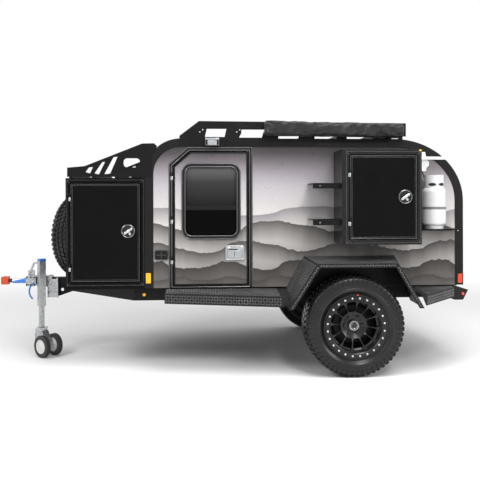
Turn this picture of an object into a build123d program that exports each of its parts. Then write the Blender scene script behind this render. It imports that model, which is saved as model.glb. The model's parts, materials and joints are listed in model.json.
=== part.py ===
"""Off-road teardrop trailer, modelled in millimetres.

X runs from the coupling (-X) to the rear bumper (+X), Y across the trailer and Z up.
The origin is on the ground, under the middle of the overall length and width.
"Left" is the -Y side, which carries the side cabinet and the gas bottle.
"""
from build123d import *
import math
import os

os.makedirs("parts", exist_ok=True)

# ------------------------------------------------------------------ overall
tongue_reach = 3096.0       # axle line forward to the tip of the coupling
body_behind = 1007.0        # rear face of the body behind the axle line
bumper_reach = 56.0         # bumper's rear lip behind the body
rear_reach = body_behind + bumper_reach
axle_x = (tongue_reach - rear_reach) / 2
seat_gap = 0.3              # between curved faces that seat on each other
fit_gap = 0.05              # radial, pins and spindles in their bores
door_gap = 8.0              # all round each door leaf and the hatch

# ------------------------------------------------------------------ cabin body
body_ahead = 1700.0         # front face ahead of the axle line
body_half = 762.0           # half of the body's width, over the side walls
body_bottom = 696.0
body_top = 1942.0
front_radius = 300.0
rear_run = 600.0            # the roof's rear curve, along the roof
rear_fall = 520.0           # and down the rear face
wall = 38.0                 # side walls and cabin doors
skin = 30.0                 # front wall, roof and hatch
floor_thickness = 40.0
bulkhead_thickness = 18.0
bulkhead_behind = 300.0
body_front = axle_x - body_ahead
body_rear = axle_x + body_behind
wall_inside = body_half - wall

# Edge trim of the body: a band on the side and a flange over the edge.
trim_band = 70.0
trim_sheet = 3.0
trim_face = body_half + trim_sheet

# ------------------------------------------------------------------ chassis
rail_bottom = 584.0
rail_height = 102.0
rail_width = 51.0
rail_outside = body_half - 62.0
rail_bend_ahead = 1790.0    # where the side rails turn in to the tongue
rail_wall = 5.0
crossmember_height = 76.0
crossmember_width = 51.0
crossmember_count = 5
rail_top = rail_bottom + rail_height
rail_middle = rail_outside - rail_width / 2
bend_x = axle_x - rail_bend_ahead
apex_x = bend_x - rail_middle
tongue_tube = 60.0
tongue_z = 680.0            # height of the coupling's line
tongue_wall = 6.0
nose_sheet = 16.0           # gusset plate at the apex of the A-frame
nose_length = 110.0
nose_hole_in = 38.0         # hole's centre from the plate's front edge
nose_hole_up = 62.0         # and above its foot
nose_top = 696.0
nose_bottom = 529.0
nose_hole = 30.0
nose_overlap = 20.0         # the tongue tube stops this far ahead of the rails' apex

bumper_depth = 124.0
bumper_height = 122.0
bumper_rear_drop = 36.0     # fall of the step towards its rear lip
bumper_rear_slope = 45.0    # run of the sloping rear face
bumper_sheet = 5.0
bumper_half = body_half - 17.0
bumper_top = rail_top

# ------------------------------------------------------------------ wheels
tyre_radius = 409.0
tyre_section = 262.0
tread_width = 232.0
tyre_middle = body_half + 205.0     # centre plane of each tyre from the trailer's middle
bead_radius = 224.0
tyre_sidewall = 14.0
tyre_crown = 26.0
shoulder_drop = 15.0
rim_lip_radius = 244.0
rim_width = 240.0
rim_sheet = 9.0
rim_flange = 12.0           # thickness of the lips that hold the beads
rim_well_radius = 196.0
disc_thickness = 13.0
disc_edge = 92.0            # outer edge of the wheel disc, outboard of the centre plane
hub_face = 8.0              # face that bolts to the hub, outboard of the centre plane
hub_face_radius = 92.0
window_count = 12
window_inner = 150.0
window_outer = 205.0
lug_circle = 70.0
lug_count = 6
lug_size = 22.0
hub_radius = 54.0
hub_flange_radius = 90.0
hub_flange = 12.0
hub_depth = 150.0
cap_radius = 40.0
cap_height = 52.0
spindle_radius = 22.0
spindle_length = 165.0
axle_tube = 76.0
axle_ahead = 150.0          # torsion tube ahead of the wheel line
arm_thickness = 36.0
arm_height = 80.0
arm_inside = rail_outside + 76.0

# ------------------------------------------------------------------ fenders
fender_outside = body_half + 345.0
fender_inside = body_half + seat_gap
fender_sheet = 4.0
fender_lip = 33.0
fender_top = 952.0          # at the body
fender_top_front = 366.0    # front end of the top at the body, ahead of the axle
fender_top_rear = 410.0
fender_taper_front = 56.0   # how much shorter the outer edge is at each end
fender_taper_rear = 68.0
fender_fall = 34.0          # how much lower the outer edge is
fender_foot_front = 542.0   # outer feet, from the axle line
fender_foot_rear = 553.0
fender_foot = 556.0         # height of the feet
board_front_ahead = 1531.0
board_front_outside = body_half + 168.0
board_rear_behind = 915.0
board_rear_outside = body_half + 48.0
board_face = 84.0
board_fall = 24.0
board_sheet = 4.0
board_gap = 2.0
board_flange = 46.0         # upright flange that bolts to the side rail

# ------------------------------------------------------------------ cabin doors
door_front_ahead = 1462.0
door_rear_ahead = 841.0
door_bottom = 716.0
door_top = 1831.0
door_chamfer_x = 140.0
door_chamfer_z = 123.0
door_proud = 5.0            # leaf's face outside the trim's face
door_frame = 33.0
window_front_in = 66.0      # leaf's front edge to the window frame
window_rear_in = 60.0
window_bottom = 1098.0
window_top = 1737.0
window_radius = 84.0
window_frame_width = 35.0
window_frame_proud = 8.0
glass_thickness = 5.0
window_bar_z = 1344.0
window_bar = 37.0
hinge_radius = 7.0
hinge_pin = 3.5
hinge_half = 30.0           # length of each knuckle
hinge_leaf = 3.0
hinge_plate = 13.0
door_hinge_heights = (925.0, 1263.0, 1626.0)
latch_rear_in = 33.0
latch_width = 156.0
latch_height = 124.0
latch_bottom = 924.0
latch_proud = 12.0

# ------------------------------------------------------------------ tongue box
box_ahead = 2352.0
box_bottom = 690.0
box_top = 1613.0
box_sheet = 3.0
box_frame_depth = 25.0
box_flat_front = 330.0      # the front wall slants back beyond this distance from the middle
box_slant = 28.0            # degrees
box_door_front = 2309.0
box_door_rear = 1743.0
box_door_bottom = 754.0
box_door_top = 1565.0
box_door_thickness = 22.0
box_hinge_heights = (872.0, 1453.0)
knob_radius = 57.0
knob_depth = 14.0
knob_inset = 96.0
box_front = axle_x - box_ahead
box_rear = body_front - trim_sheet

# ------------------------------------------------------------------ side cabinet
cabinet_ahead = 110.0
cabinet_behind = 541.0
cabinet_depth = 320.0
cabinet_bottom = 1065.0
cabinet_top = 1832.0
cabinet_frame = 69.0
cabinet_frame_rear = 42.0
cabinet_frame_low = 48.0
cabinet_frame_top = 50.0
cabinet_hinge_heights = (1250.0, 1640.0)
cabinet_knob_z = 1450.0
step_length = 226.0
step_lip = 43.0
step_heights = (1266.0, 1562.0)
step_sheet = 4.0
step_outside = body_half + 278.0

# ------------------------------------------------------------------ gas bottle
bottle_radius = 95.0
bottle_behind = cabinet_behind + 174.0
bottle_out = 118.0          # its axis from the side wall
bottle_foot = 1184.0
bottle_height = 365.0
bottle_dome = 55.0
collar_radius = 78.0
collar_height = 136.0
collar_sheet = 4.0
foot_ring_height = 24.0
tray_thickness = 9.0
tray_flange = 14.0
tray_front_behind = cabinet_behind + 63.0
tray_rear_behind = body_behind - 90.0
bracket_sheet = 4.0
bracket_width = 59.0
bracket_half = 50.0
bracket_bottom = 1665.0
bracket_top = 1825.0
bracket_bar = 24.0
bracket_bar_z = 1761.0
bracket_bar_length = 354.0
hose_radius = 5.0

# ------------------------------------------------------------------ racks
rack_sheet = 5.0
rack_rise = 148.0           # plates' upper edge above the body's top
rack_drop = 55.0            # lower edge below it
rack_top = body_top + rack_rise
rack_low = body_top - rack_drop
rack_front_ahead = 1412.0
rack_rear_behind = 512.0
rack_bar_z = body_top + 43.0
rack_bar_in = 182.0         # first bar from the plates' front end
rack_bar_clear = 90.0       # last bar ahead of the hatch's hinge
basket_in = 15.0            # front end of the basket's plates, behind the box's front
basket_rear_ahead = 1597.0
basket_lift = 10.0          # lower edge of its plates above the box
basket_top = 1903.0
basket_bar_in = 30.0
basket_bar_rear = 60.0
rack_tube = 25.0
rack_tube_height = 40.0
rack_bars = 6
basket_bars = 4

# ------------------------------------------------------------------ awning and lamp
bag_front_ahead = 703.0
bag_length = 1170.0
bag_height = 126.0
bag_depth = 118.0
bag_round = 32.0
bag_tilt = 1.1              # degrees, lower at the rear

lamp_front_ahead = 1198.0
lamp_rear_ahead = 1080.0
lamp_bottom = 1880.0
lamp_top = 1946.0
lamp_depth = 46.0
lamp_round = 8.0

# ------------------------------------------------------------------ inlet and markers
inlet_front_ahead = 1620.0
inlet_rear_ahead = 1508.0
inlet_bottom = 932.0
inlet_top = 1012.0
inlet_depth = 18.0
inlet_round = 12.0
marker_depth = 8.0
amber_in = 8.0              # amber marker behind the body's front face
amber_width = 40.0
amber_bottom = 737.0
amber_top = 821.0
red_in = 10.0               # red marker ahead of the body's rear face
red_width = 36.0
red_bottom = 715.0
red_top = 792.0

# ------------------------------------------------------------------ coupling
neck_radius = 18.0
neck_length = 150.0
catch_length = 66.0
catch_half = 32.0
catch_low = 34.0            # below and above the coupling's line
catch_high = 38.0
catch_round = 10.0
sleeve_in = 101.0           # front ends behind the coupling's tip
block_in = 230.0
sleeve_radius = 26.0
block_half = 45.0
block_low = 52.0
block_high = 44.0
block_round = 10.0
block_bolt = 11.0
block_bolt_length = 112.0
block_behind_jack = -64.0
brake_in = 14.0
brake_foot = 60.0
brake_rise = 52.0
brake_sheet = 8.0
brake_lever_rise = 114.0
brake_lever_run = 72.0
brake_lever_width = 16.0
brake_lever_half = 14.0
pin_bore = 16.0             # radius of the upright bore for the towing vehicle's pin
pin_bore_in = 34.0          # its axis behind the tip

# ------------------------------------------------------------------ jack
jack_ahead = 2710.0
jack_out = 88.0
jack_turn = 35.0
jack_tube = 59.0
jack_wall = 4.5
jack_cap = 8.0
jack_top = 890.0
jack_foot = 452.0
jack_guide = 24.0           # length of the guides that the leg slides in
clamp_sheet = 14.0
clamp_ahead = 26.0
clamp_behind = 84.0
clamp_low = 26.0
clamp_lug = 18.0
leg_tube = 40.0
leg_top = 600.0
leg_foot = 254.0
leg_plate = 12.0
leg_plate_half = 46.0
caster_trail = 100.0
caster_turn = 41.0          # degrees, how the caster stands as parked
jack_wheel_radius = 100.0
jack_wheel_width = 44.0
jack_wheel_spread = 66.0
jack_axle_radius = 8.0
jack_wheel_round = 8.0
fork_half = 34.0            # half of the fork's width between the wheels
fork_head = 50.0
fork_head_height = 12.0
fork_heel = 58.0            # the heel's reach ahead of the leg
fork_heel_bottom = 111.0
fork_heel_top = 197.0


# ------------------------------------------------------------------ helpers
def side_plane(distance):
    """Vertical plane that faces the left side, at that distance from the middle."""
    return Plane((0, -distance, 0), x_dir=(1, 0, 0), z_dir=(0, -1, 0))


def polygon(plane, points):
    """Face with straight edges through the points, on the plane."""
    with BuildSketch(plane) as face:
        with BuildLine():
            Polyline(*points, close=True)
        make_face()
    return face.sketch


def rectangle(plane, x_range, y_range, radius=0.0):
    """Rectangular face between the limits, with round corners if a radius is given."""
    with BuildSketch(plane) as face:
        with Locations(((x_range[0] + x_range[1]) / 2, (y_range[0] + y_range[1]) / 2)):
            if radius > 0:
                RectangleRounded(x_range[1] - x_range[0], y_range[1] - y_range[0], radius)
            else:
                Rectangle(x_range[1] - x_range[0], y_range[1] - y_range[0])
    return face.sketch


def block(x_range, y_range, z_range, mode=Mode.ADD):
    """Plain block between the limits, added to the part in hand."""
    ranges = (x_range, y_range, z_range)
    with Locations(tuple((low + high) / 2 for low, high in ranges)):
        Box(*(high - low for low, high in ranges), mode=mode)


def body_outline(plane, inset, base):
    """Side outline of the body, drawn in by inset, down to the height base."""
    front = body_front + inset
    rear = body_rear - inset
    top = body_top - inset
    turn_front = front_radius - inset
    run = rear_run - inset
    fall = rear_fall - inset
    bulge = 1 - math.sqrt(0.5)
    with BuildSketch(plane) as outline:
        with BuildLine():
            Line((rear, base), (front, base))
            Line((front, base), (front, top - turn_front))
            ThreePointArc(
                (front, top - turn_front),
                (front + turn_front * bulge, top - turn_front * bulge),
                (front + turn_front, top),
            )
            Line((front + turn_front, top), (rear - run, top))
            EllipticalCenterArc((rear - run, top - fall), run, fall, start_angle=0, arc_size=90)
            Line((rear, top - fall), (rear, base))
        make_face()
    return outline.sketch


def save(solid, name):
    """Label a finished piece and write it."""
    solid.label = name
    export_step(solid, "parts/" + name + ".step")


def save_pair(solid, name):
    """Write a piece of the left side and its mirror image on the right."""
    save(solid, name + "_left")
    save(mirror(solid, about=Plane.XZ, mode=Mode.PRIVATE), name + "_right")


# ------------------------------------------------------------------ chassis frame
def rail_frame(inset, height):
    """Plan of the two side rails and the A-frame, drawn in by inset all round."""
    reach = (rail_width / 2 - inset)
    outer = rail_middle + reach
    inner = rail_middle - reach
    turn = reach * math.tan(math.radians(22.5))
    rear = axle_x + rear_reach - bumper_depth
    with BuildSketch(Plane.XY.offset(height)) as plan:
        for side in (1, -1):
            with BuildLine():
                Polyline(
                    (rear, side * outer),
                    (bend_x - turn, side * outer),
                    (bend_x - turn - outer, 0),
                    (bend_x + turn - inner, 0),
                    (bend_x + turn, side * inner),
                    (rear, side * inner),
                    close=True,
                )
            make_face()
    return plan.sketch


frame_rear = axle_x + rear_reach - bumper_depth
crossmember_z = (rail_top - crossmember_height, rail_top)
crossmember_pitch = (frame_rear - crossmember_width - bend_x) / (crossmember_count - 1)
nose_front = apex_x - nose_length
with BuildPart() as chassis_frame:
    extrude(rail_frame(0, rail_bottom), amount=rail_height, dir=(0, 0, 1))
    extrude(
        rail_frame(rail_wall, rail_bottom + rail_wall),
        amount=rail_height - 2 * rail_wall,
        dir=(0, 0, 1),
        mode=Mode.SUBTRACT,
    )
    inner_half = rail_outside - rail_width
    for index in range(crossmember_count):
        start = bend_x + index * crossmember_pitch
        block((start, start + crossmember_width), (-inner_half, inner_half), crossmember_z)
    half_tongue = tongue_tube / 2
    tongue_end = axle_x - jack_ahead + block_behind_jack
    tongue_span = (tongue_z - half_tongue, tongue_z + half_tongue)
    block((tongue_end, apex_x - nose_overlap), (-half_tongue, half_tongue), tongue_span)
    block((apex_x, bend_x), (-crossmember_width / 2, crossmember_width / 2), crossmember_z)
    nose_points = (
        (nose_front, nose_bottom),
        (nose_front, nose_top),
        (apex_x + rail_width, nose_top),
        (apex_x + rail_width, rail_bottom),
    )
    extrude(polygon(side_plane(nose_sheet / 2), nose_points), amount=-nose_sheet)
    with Locations(Plane((nose_front + nose_hole_in, 0, nose_bottom + nose_hole_up), x_dir=(1, 0, 0), z_dir=(0, -1, 0))):
        Cylinder(nose_hole / 2, nose_sheet * 2, mode=Mode.SUBTRACT)
save(chassis_frame.part, "chassis_frame")

# ------------------------------------------------------------------ axle
# A torsion tube under the rails, with a trailing arm and a spindle at each end.
tube_x = axle_x - axle_ahead
tube_z = rail_bottom - axle_tube / 2
wheel_axis = Axis((axle_x, 0, tyre_radius), (0, 1, 0))
hub_inside = tyre_middle + hub_face - hub_depth
with BuildPart() as axle:
    arm_outside = arm_inside + arm_thickness
    block(
        (tube_x - axle_tube / 2, tube_x + axle_tube / 2),
        (-arm_inside, arm_inside),
        (tube_z - axle_tube / 2, tube_z + axle_tube / 2),
    )
    for side in (1, -1):
        arm_plane = Plane((0, side * arm_inside, 0), x_dir=(1, 0, 0), z_dir=(0, -1, 0))
        with BuildSketch(arm_plane):
            with BuildLine():
                arm_ends = ((tube_x, tube_z), (axle_x, tyre_radius))
                Line(*arm_ends)
            trace(line_width=arm_height)
            with Locations(*arm_ends):
                Circle(arm_height / 2 + 8)
        extrude(amount=-side * arm_thickness)
        spindle = Plane((axle_x, side * arm_outside, tyre_radius), x_dir=(1, 0, 0), z_dir=(0, side, 0))
        with BuildSketch(spindle):
            Circle(spindle_radius)
        extrude(amount=spindle_length)
        with BuildSketch(spindle):
            Circle(spindle_radius + 12)
        extrude(amount=hub_inside - arm_outside - 2)
save(axle.part, "axle")

# ------------------------------------------------------------------ rear bumper
bumper_profile = (
    (frame_rear, bumper_top),
    (frame_rear + bumper_depth, bumper_top - bumper_rear_drop),
    (frame_rear + bumper_depth - bumper_rear_slope, bumper_top - bumper_height),
    (frame_rear, bumper_top - bumper_height),
)
with BuildPart() as rear_bumper:
    extrude(polygon(side_plane(bumper_half), bumper_profile), amount=-2 * bumper_half)
    ends = rear_bumper.faces().sort_by(Axis.Y)
    offset(amount=-bumper_sheet, openings=[ends[0], ends[-1]])
    extrude(polygon(side_plane(bumper_half), bumper_profile), amount=-bumper_sheet)
    extrude(polygon(side_plane(-bumper_half), bumper_profile), amount=bumper_sheet)
save(rear_bumper.part, "rear_bumper")

# ------------------------------------------------------------------ wheels
def wheel_plane(centre, outboard):
    """Plane through a wheel's axis: local x runs outboard along it, local y is up."""
    outboard = Vector(outboard).normalized()
    return Plane(centre, x_dir=outboard, z_dir=outboard.cross(Vector(0, 0, 1)))


def tyre_solid(centre, outboard):
    """Hollow tyre casing, out to the tips of its tread, with two beads."""
    half = tyre_section / 2
    tread = tread_width / 2
    bead = rim_width / 2 - rim_flange - seat_gap
    profile = (
        (-bead, bead_radius),
        (-bead, rim_lip_radius + 2),
        (-half, bead_radius + (tyre_radius - bead_radius) * 0.42),
        (-half + 6, tyre_radius - 62),
        (-tread, tyre_radius - shoulder_drop),
        (-tread + 16, tyre_radius),
    )
    inner = (
        (-bead + tyre_sidewall + 6, bead_radius),
        (-half + tyre_sidewall, bead_radius + (tyre_radius - bead_radius) * 0.42),
        (-half + 8 + tyre_sidewall, tyre_radius - 66),
        (-tread + tyre_sidewall + 22, tyre_radius - tyre_crown),
    )
    across = [(-x, y) for x, y in reversed(profile)]
    across_inner = [(-x, y) for x, y in reversed(inner)]
    plane = wheel_plane(centre, outboard)
    section = polygon(plane, list(profile) + across + list(reversed(list(inner) + across_inner)))
    with BuildPart() as tyre:
        revolve(section, axis=Axis(centre, outboard))
    return tyre.part


def rim_solid(centre, outboard):
    """Wheel rim: drop-centre barrel, bead lips, outer ring and a disc with windows."""
    half = rim_width / 2
    plane = wheel_plane(centre, outboard)
    seat = bead_radius - seat_gap
    barrel = (
        (-half, rim_lip_radius),
        (-half, seat - rim_sheet),
        (-half + 62, seat - rim_sheet),
        (-half + 76, rim_well_radius - rim_sheet),
        (disc_edge - 46, rim_well_radius - rim_sheet),
        (disc_edge - 30, seat - rim_sheet - 6),
        (half, seat - rim_sheet - 6),
        (half + 8, rim_lip_radius - 22),
        (half + 8, rim_lip_radius - 2),
        (half - 4, rim_lip_radius),
        (half - rim_flange, rim_lip_radius - 8),
        (half - rim_flange, seat),
        (disc_edge - 34, seat),
        (disc_edge - 50, rim_well_radius),
        (-half + 72, rim_well_radius),
        (-half + 58, seat),
        (-half + rim_flange, seat),
        (-half + rim_flange, rim_lip_radius - 8),
        (-half + rim_flange - 4, rim_lip_radius),
    )
    disc = (
        (disc_edge, seat - rim_sheet - 2),
        (disc_edge - 26, window_inner - 12),
        (hub_face + disc_thickness, hub_face_radius + 14),
        (hub_face + disc_thickness, cap_radius + 2),
        (hub_face, cap_radius + 2),
        (hub_face, hub_face_radius),
        (disc_edge - 26 - disc_thickness - 6, window_inner - 12),
        (disc_edge - disc_thickness, seat - rim_sheet - 2),
    )
    with BuildPart() as rim:
        revolve(polygon(plane, barrel), axis=Axis(centre, outboard))
        revolve(polygon(plane, disc), axis=Axis(centre, outboard))
        face = Plane(centre, x_dir=plane.z_dir, z_dir=plane.x_dir)
        middle = (window_inner + window_outer) / 2
        with BuildSketch(face.offset(disc_edge - 60)):
            with PolarLocations(middle, window_count):
                RectangleRounded(window_outer - window_inner, 58, 16)
        extrude(amount=56, mode=Mode.SUBTRACT)
        with BuildSketch(face.offset(hub_face)):
            with PolarLocations(lug_circle, lug_count):
                Circle(8)
        extrude(amount=disc_thickness, mode=Mode.SUBTRACT)
    return rim.part


left_wheel = (axle_x, -tyre_middle, tyre_radius)
save_pair(tyre_solid(left_wheel, (0, -1, 0)), "tyre")
save_pair(rim_solid(left_wheel, (0, -1, 0)), "rim")

# Hub: barrel on the spindle, flange with studs and nuts, and the bearing cap.
hub_plane = side_plane(tyre_middle + hub_face)
with BuildPart() as hub:
    with BuildSketch(hub_plane) as face:
        with Locations((axle_x, tyre_radius)):
            Circle(hub_radius)
    extrude(amount=-hub_depth)
    with BuildSketch(hub_plane):
        with Locations((axle_x, tyre_radius)):
            Circle(hub_flange_radius)
    extrude(amount=-hub_flange)
    with BuildSketch(hub_plane):
        with Locations((axle_x, tyre_radius)):
            Circle(cap_radius)
    extrude(amount=cap_height)
    fillet(hub.edges().group_by(Axis.Y)[0], radius=8)
    with BuildSketch(hub_plane):
        with Locations(Location((axle_x, tyre_radius))):
            with PolarLocations(lug_circle, lug_count):
                Circle(8 - seat_gap)
    extrude(amount=disc_thickness + 4)
    with BuildSketch(hub_plane.offset(disc_thickness)):
        with Locations(Location((axle_x, tyre_radius))):
            with PolarLocations(lug_circle, lug_count):
                RegularPolygon(lug_size / 2, 6, major_radius=False)
    extrude(amount=18)
    with BuildSketch(side_plane(hub_inside)):
        with Locations((axle_x, tyre_radius)):
            Circle(spindle_radius + fit_gap)
    extrude(amount=spindle_length + 4, mode=Mode.SUBTRACT)
save_pair(hub.part, "hub")

# ------------------------------------------------------------------ spare wheel
slant = math.radians(box_slant)
slant_out = (-math.cos(slant), math.sin(slant), 0)
slant_along = (math.sin(slant), math.cos(slant), 0)
spare_z = 1097.0
spare_along = 389.0         # wheel's centre along the slanted wall from its near corner
spare_off = 158.0           # wheel's centre plane off the wall
spare_centre = (
    box_front + spare_along * slant_along[0] + spare_off * slant_out[0],
    -box_flat_front + spare_along * slant_along[1] + spare_off * slant_out[1],
    spare_z,
)
save(tyre_solid(spare_centre, slant_out), "spare_tyre")
save(rim_solid(spare_centre, slant_out), "spare_rim")
with BuildPart() as spare_carrier:
    wall_point = Vector(spare_centre) - Vector(slant_out) * spare_off
    carrier = Plane(wall_point, x_dir=slant_along, z_dir=slant_out)
    with BuildSketch(carrier):
        Rectangle(240, 300)
    extrude(amount=8)
    with BuildSketch(carrier):
        Circle(45)
    extrude(amount=spare_off + hub_face - 10)
    with BuildSketch(carrier.offset(spare_off + hub_face - 10)):
        Circle(hub_face_radius - 4)
    extrude(amount=10)
    with BuildSketch(carrier.offset(spare_off + hub_face)):
        Circle(cap_radius)
    extrude(amount=disc_thickness)
    with BuildSketch(carrier.offset(spare_off + hub_face)):
        with PolarLocations(lug_circle, lug_count):
            Circle(8 - seat_gap)
    extrude(amount=disc_thickness + 4)
    with BuildSketch(carrier.offset(spare_off + hub_face + disc_thickness)):
        with PolarLocations(lug_circle, lug_count):
            RegularPolygon(lug_size / 2, 6, major_radius=False)
    extrude(amount=18)
save(spare_carrier.part, "spare_carrier")

# ------------------------------------------------------------------ cabin shell
with BuildPart() as floor_panel:
    block(
        (body_front + skin, body_rear - skin - door_gap),
        (-wall_inside, wall_inside),
        (rail_top, rail_top + floor_thickness),
    )
save(floor_panel.part, "floor_panel")

door_front = axle_x - door_front_ahead
door_rear = axle_x - door_rear_ahead


def door_outline(plane, grow):
    """Outline of the cabin door's leaf, grown by that much all round."""
    front = door_front - grow
    rear = door_rear + grow
    bottom = door_bottom - grow
    top = door_top + grow
    shift = grow * 0.42
    points = (
        (front, bottom),
        (front, top - door_chamfer_z - shift),
        (front + door_chamfer_x + shift, top),
        (rear, top),
        (rear, bottom),
    )
    return polygon(plane, points)


with BuildPart() as side_wall:
    extrude(body_outline(side_plane(wall_inside), 0, body_bottom), amount=wall)
    extrude(door_outline(side_plane(wall_inside), door_gap), amount=wall, mode=Mode.SUBTRACT)
save_pair(side_wall.part, "side_wall")

# The hatch is hinged at the rear end of the flat roof.
hatch_hinge_x = body_rear - rear_run + 10
hatch_hinge_spots = (-430, 0, 430)
roof_knuckle = 60.0         # half of the roof's knuckle; the hatch's run on to its sides
hatch_knuckle = 58.0
hatch_knuckle_gap = 1.0
hatch_leaf = 30.0
hatch_hinge_z = body_top + 8
roof_rear = hatch_hinge_x - 6
hatch_front = hatch_hinge_x + door_gap
with BuildPart() as roof_skin:
    extrude(body_outline(side_plane(wall_inside), 0, body_bottom), amount=-2 * wall_inside)
    extrude(body_outline(side_plane(wall_inside), skin, 0), amount=-2 * wall_inside, mode=Mode.SUBTRACT)
    block((roof_rear, body_rear + 1), (-body_half, body_half), (0, body_top + 1), mode=Mode.SUBTRACT)
    # Roof side of the hatch hinge.
    for middle in hatch_hinge_spots:
        span = (middle - roof_knuckle, middle + roof_knuckle)
        block((roof_rear - hatch_leaf, roof_rear), span, (body_top - 2, body_top + 3))
        with Locations(Location((hatch_hinge_x, middle, hatch_hinge_z), (90, 0, 0))):
            Cylinder(hinge_pin, 2 * (roof_knuckle + hatch_knuckle + hatch_knuckle_gap) + 2)
            Cylinder(hinge_radius, 2 * roof_knuckle)
        block((roof_rear - 4, hatch_hinge_x), span, (body_top, hatch_hinge_z))
save(roof_skin.part, "roof_skin")

with BuildPart() as bulkhead:
    bulkhead_x = axle_x + bulkhead_behind
    block(
        (bulkhead_x, bulkhead_x + bulkhead_thickness),
        (-wall_inside, wall_inside),
        (rail_top + floor_thickness, body_top - skin),
    )
save(bulkhead.part, "bulkhead")

# ------------------------------------------------------------------ body trim
hinge_out = body_half + trim_sheet + door_proud + hinge_radius
with BuildPart() as body_trim:
    extrude(body_outline(side_plane(body_half), -trim_sheet, body_bottom), amount=trim_sheet)
    extrude(body_outline(side_plane(body_half), trim_band, 0), amount=trim_sheet, mode=Mode.SUBTRACT)
    extrude(body_outline(side_plane(wall_inside), -trim_sheet, body_bottom), amount=wall)
    extrude(body_outline(side_plane(wall_inside), 0, 0), amount=wall, mode=Mode.SUBTRACT)
    extrude(door_outline(side_plane(body_half), door_gap + door_frame), amount=trim_sheet)
    extrude(door_outline(side_plane(body_half), door_gap), amount=trim_sheet, mode=Mode.SUBTRACT)
    block((body_front, body_rear), (-trim_face, -body_half), (0, body_bottom), mode=Mode.SUBTRACT)
save_pair(body_trim.part, "body_trim")

# ------------------------------------------------------------------ rear hatch
hatch_half = wall_inside - door_gap
hatch_bottom = bumper_top + 12
with BuildPart() as rear_hatch:
    extrude(body_outline(side_plane(hatch_half), 0, hatch_bottom), amount=-2 * hatch_half)
    extrude(body_outline(side_plane(hatch_half), skin, 0), amount=-2 * hatch_half, mode=Mode.SUBTRACT)
    block((body_front - 1, hatch_front), (-body_half, body_half), (0, body_top + 1), mode=Mode.SUBTRACT)
    # Hatch side of the hinge: a knuckle on each side of the roof's.
    for middle in hatch_hinge_spots:
        for side in (1, -1):
            near = middle + side * (roof_knuckle + hatch_knuckle_gap)
            far = near + side * hatch_knuckle
            spot = (near + far) / 2
            span = (min(near, far), max(near, far))
            with Locations(Location((hatch_hinge_x, spot, hatch_hinge_z), (90, 0, 0))):
                Cylinder(hinge_radius, hatch_knuckle)
            block((hatch_front, hatch_front + hatch_leaf), span, (body_top - 6, body_top + 3))
            block((hatch_hinge_x, hatch_front + 3), span, (body_top, hatch_hinge_z))
            with Locations(Location((hatch_hinge_x, spot, hatch_hinge_z), (90, 0, 0))):
                Cylinder(hinge_pin + fit_gap, hatch_knuckle + 2, mode=Mode.SUBTRACT)
save(rear_hatch.part, "rear_hatch")
with BuildPart() as hatch_handle:
    handle_z = hatch_bottom + 150
    for side in (1, -1):
        block((body_rear, body_rear + 30), (side * 110 - 10, side * 110 + 10), (handle_z, handle_z + 20))
    block((body_rear + 22, body_rear + 34), (-120, 120), (handle_z, handle_z + 20))
save(hatch_handle.part, "hatch_handle")

# ------------------------------------------------------------------ cabin doors
leaf_face = trim_face + door_proud
window_front = door_front + window_front_in
window_rear = door_rear - window_rear_in
window_x = (window_front, window_rear)
window_z = (window_bottom, window_top)
opening_x = (window_front + 6, window_rear - 6)
opening_z = (window_bottom + 6, window_top - 6)
sight_x = (window_front + window_frame_width, window_rear - window_frame_width)
sight_z = (window_bottom + window_frame_width, window_top - window_frame_width)
sight_radius = window_radius - window_frame_width
with BuildPart() as cabin_door:
    extrude(door_outline(side_plane(wall_inside), 0), amount=leaf_face - wall_inside)
    extrude(
        rectangle(side_plane(wall_inside), opening_x, opening_z, window_radius - 6),
        amount=wall * 2,
        mode=Mode.SUBTRACT,
    )
save_pair(cabin_door.part, "cabin_door")

with BuildPart() as window_frame:
    extrude(rectangle(side_plane(leaf_face), window_x, window_z, window_radius), amount=window_frame_proud)
    inner_x = (opening_x[0] + seat_gap, opening_x[1] - seat_gap)
    inner_z = (opening_z[0] + seat_gap, opening_z[1] - seat_gap)
    extrude(
        rectangle(side_plane(wall_inside), inner_x, inner_z, window_radius - 6 - seat_gap),
        amount=leaf_face - wall_inside,
    )
    extrude(
        rectangle(side_plane(wall_inside), sight_x, sight_z, sight_radius),
        amount=wall * 2,
        mode=Mode.SUBTRACT,
    )
    block(sight_x, (-leaf_face - 4, -leaf_face + 14), (window_bar_z, window_bar_z + window_bar))
save_pair(window_frame.part, "window_frame")

with BuildPart() as window_glass:
    glass_plane = side_plane(leaf_face - glass_thickness - 14)
    extrude(rectangle(glass_plane, sight_x, sight_z, sight_radius), amount=glass_thickness)
save_pair(window_glass.part, "window_glass")

# ------------------------------------------------------------------ hinges
door_hinge_x = door_front - door_gap - 3
box_hinge_x = axle_x - box_door_front - 5
cabinet_out = body_half + cabinet_depth
cabinet_front = axle_x - cabinet_ahead
cabinet_rear = axle_x + cabinet_behind
cabinet_door_front = cabinet_front + cabinet_frame
cabinet_door_rear = cabinet_rear - cabinet_frame_rear
cabinet_hinge_x = cabinet_door_front - 5


def hinge_post(x, out, face, height):
    """Fixed half of a lift-off hinge: a leaf on the frame, a knuckle and its pin."""
    with Locations((x, -out, height - hinge_half / 2)):
        Cylinder(hinge_radius, hinge_half)
    with Locations((x, -out, height)):
        Cylinder(hinge_pin, 2 * hinge_half - 4)
    block((x - hinge_plate, x), (-face - hinge_leaf, -face), (height - hinge_half, height))
    block((x - hinge_leaf, x), (-out, -face), (height - hinge_half, height))


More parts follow.
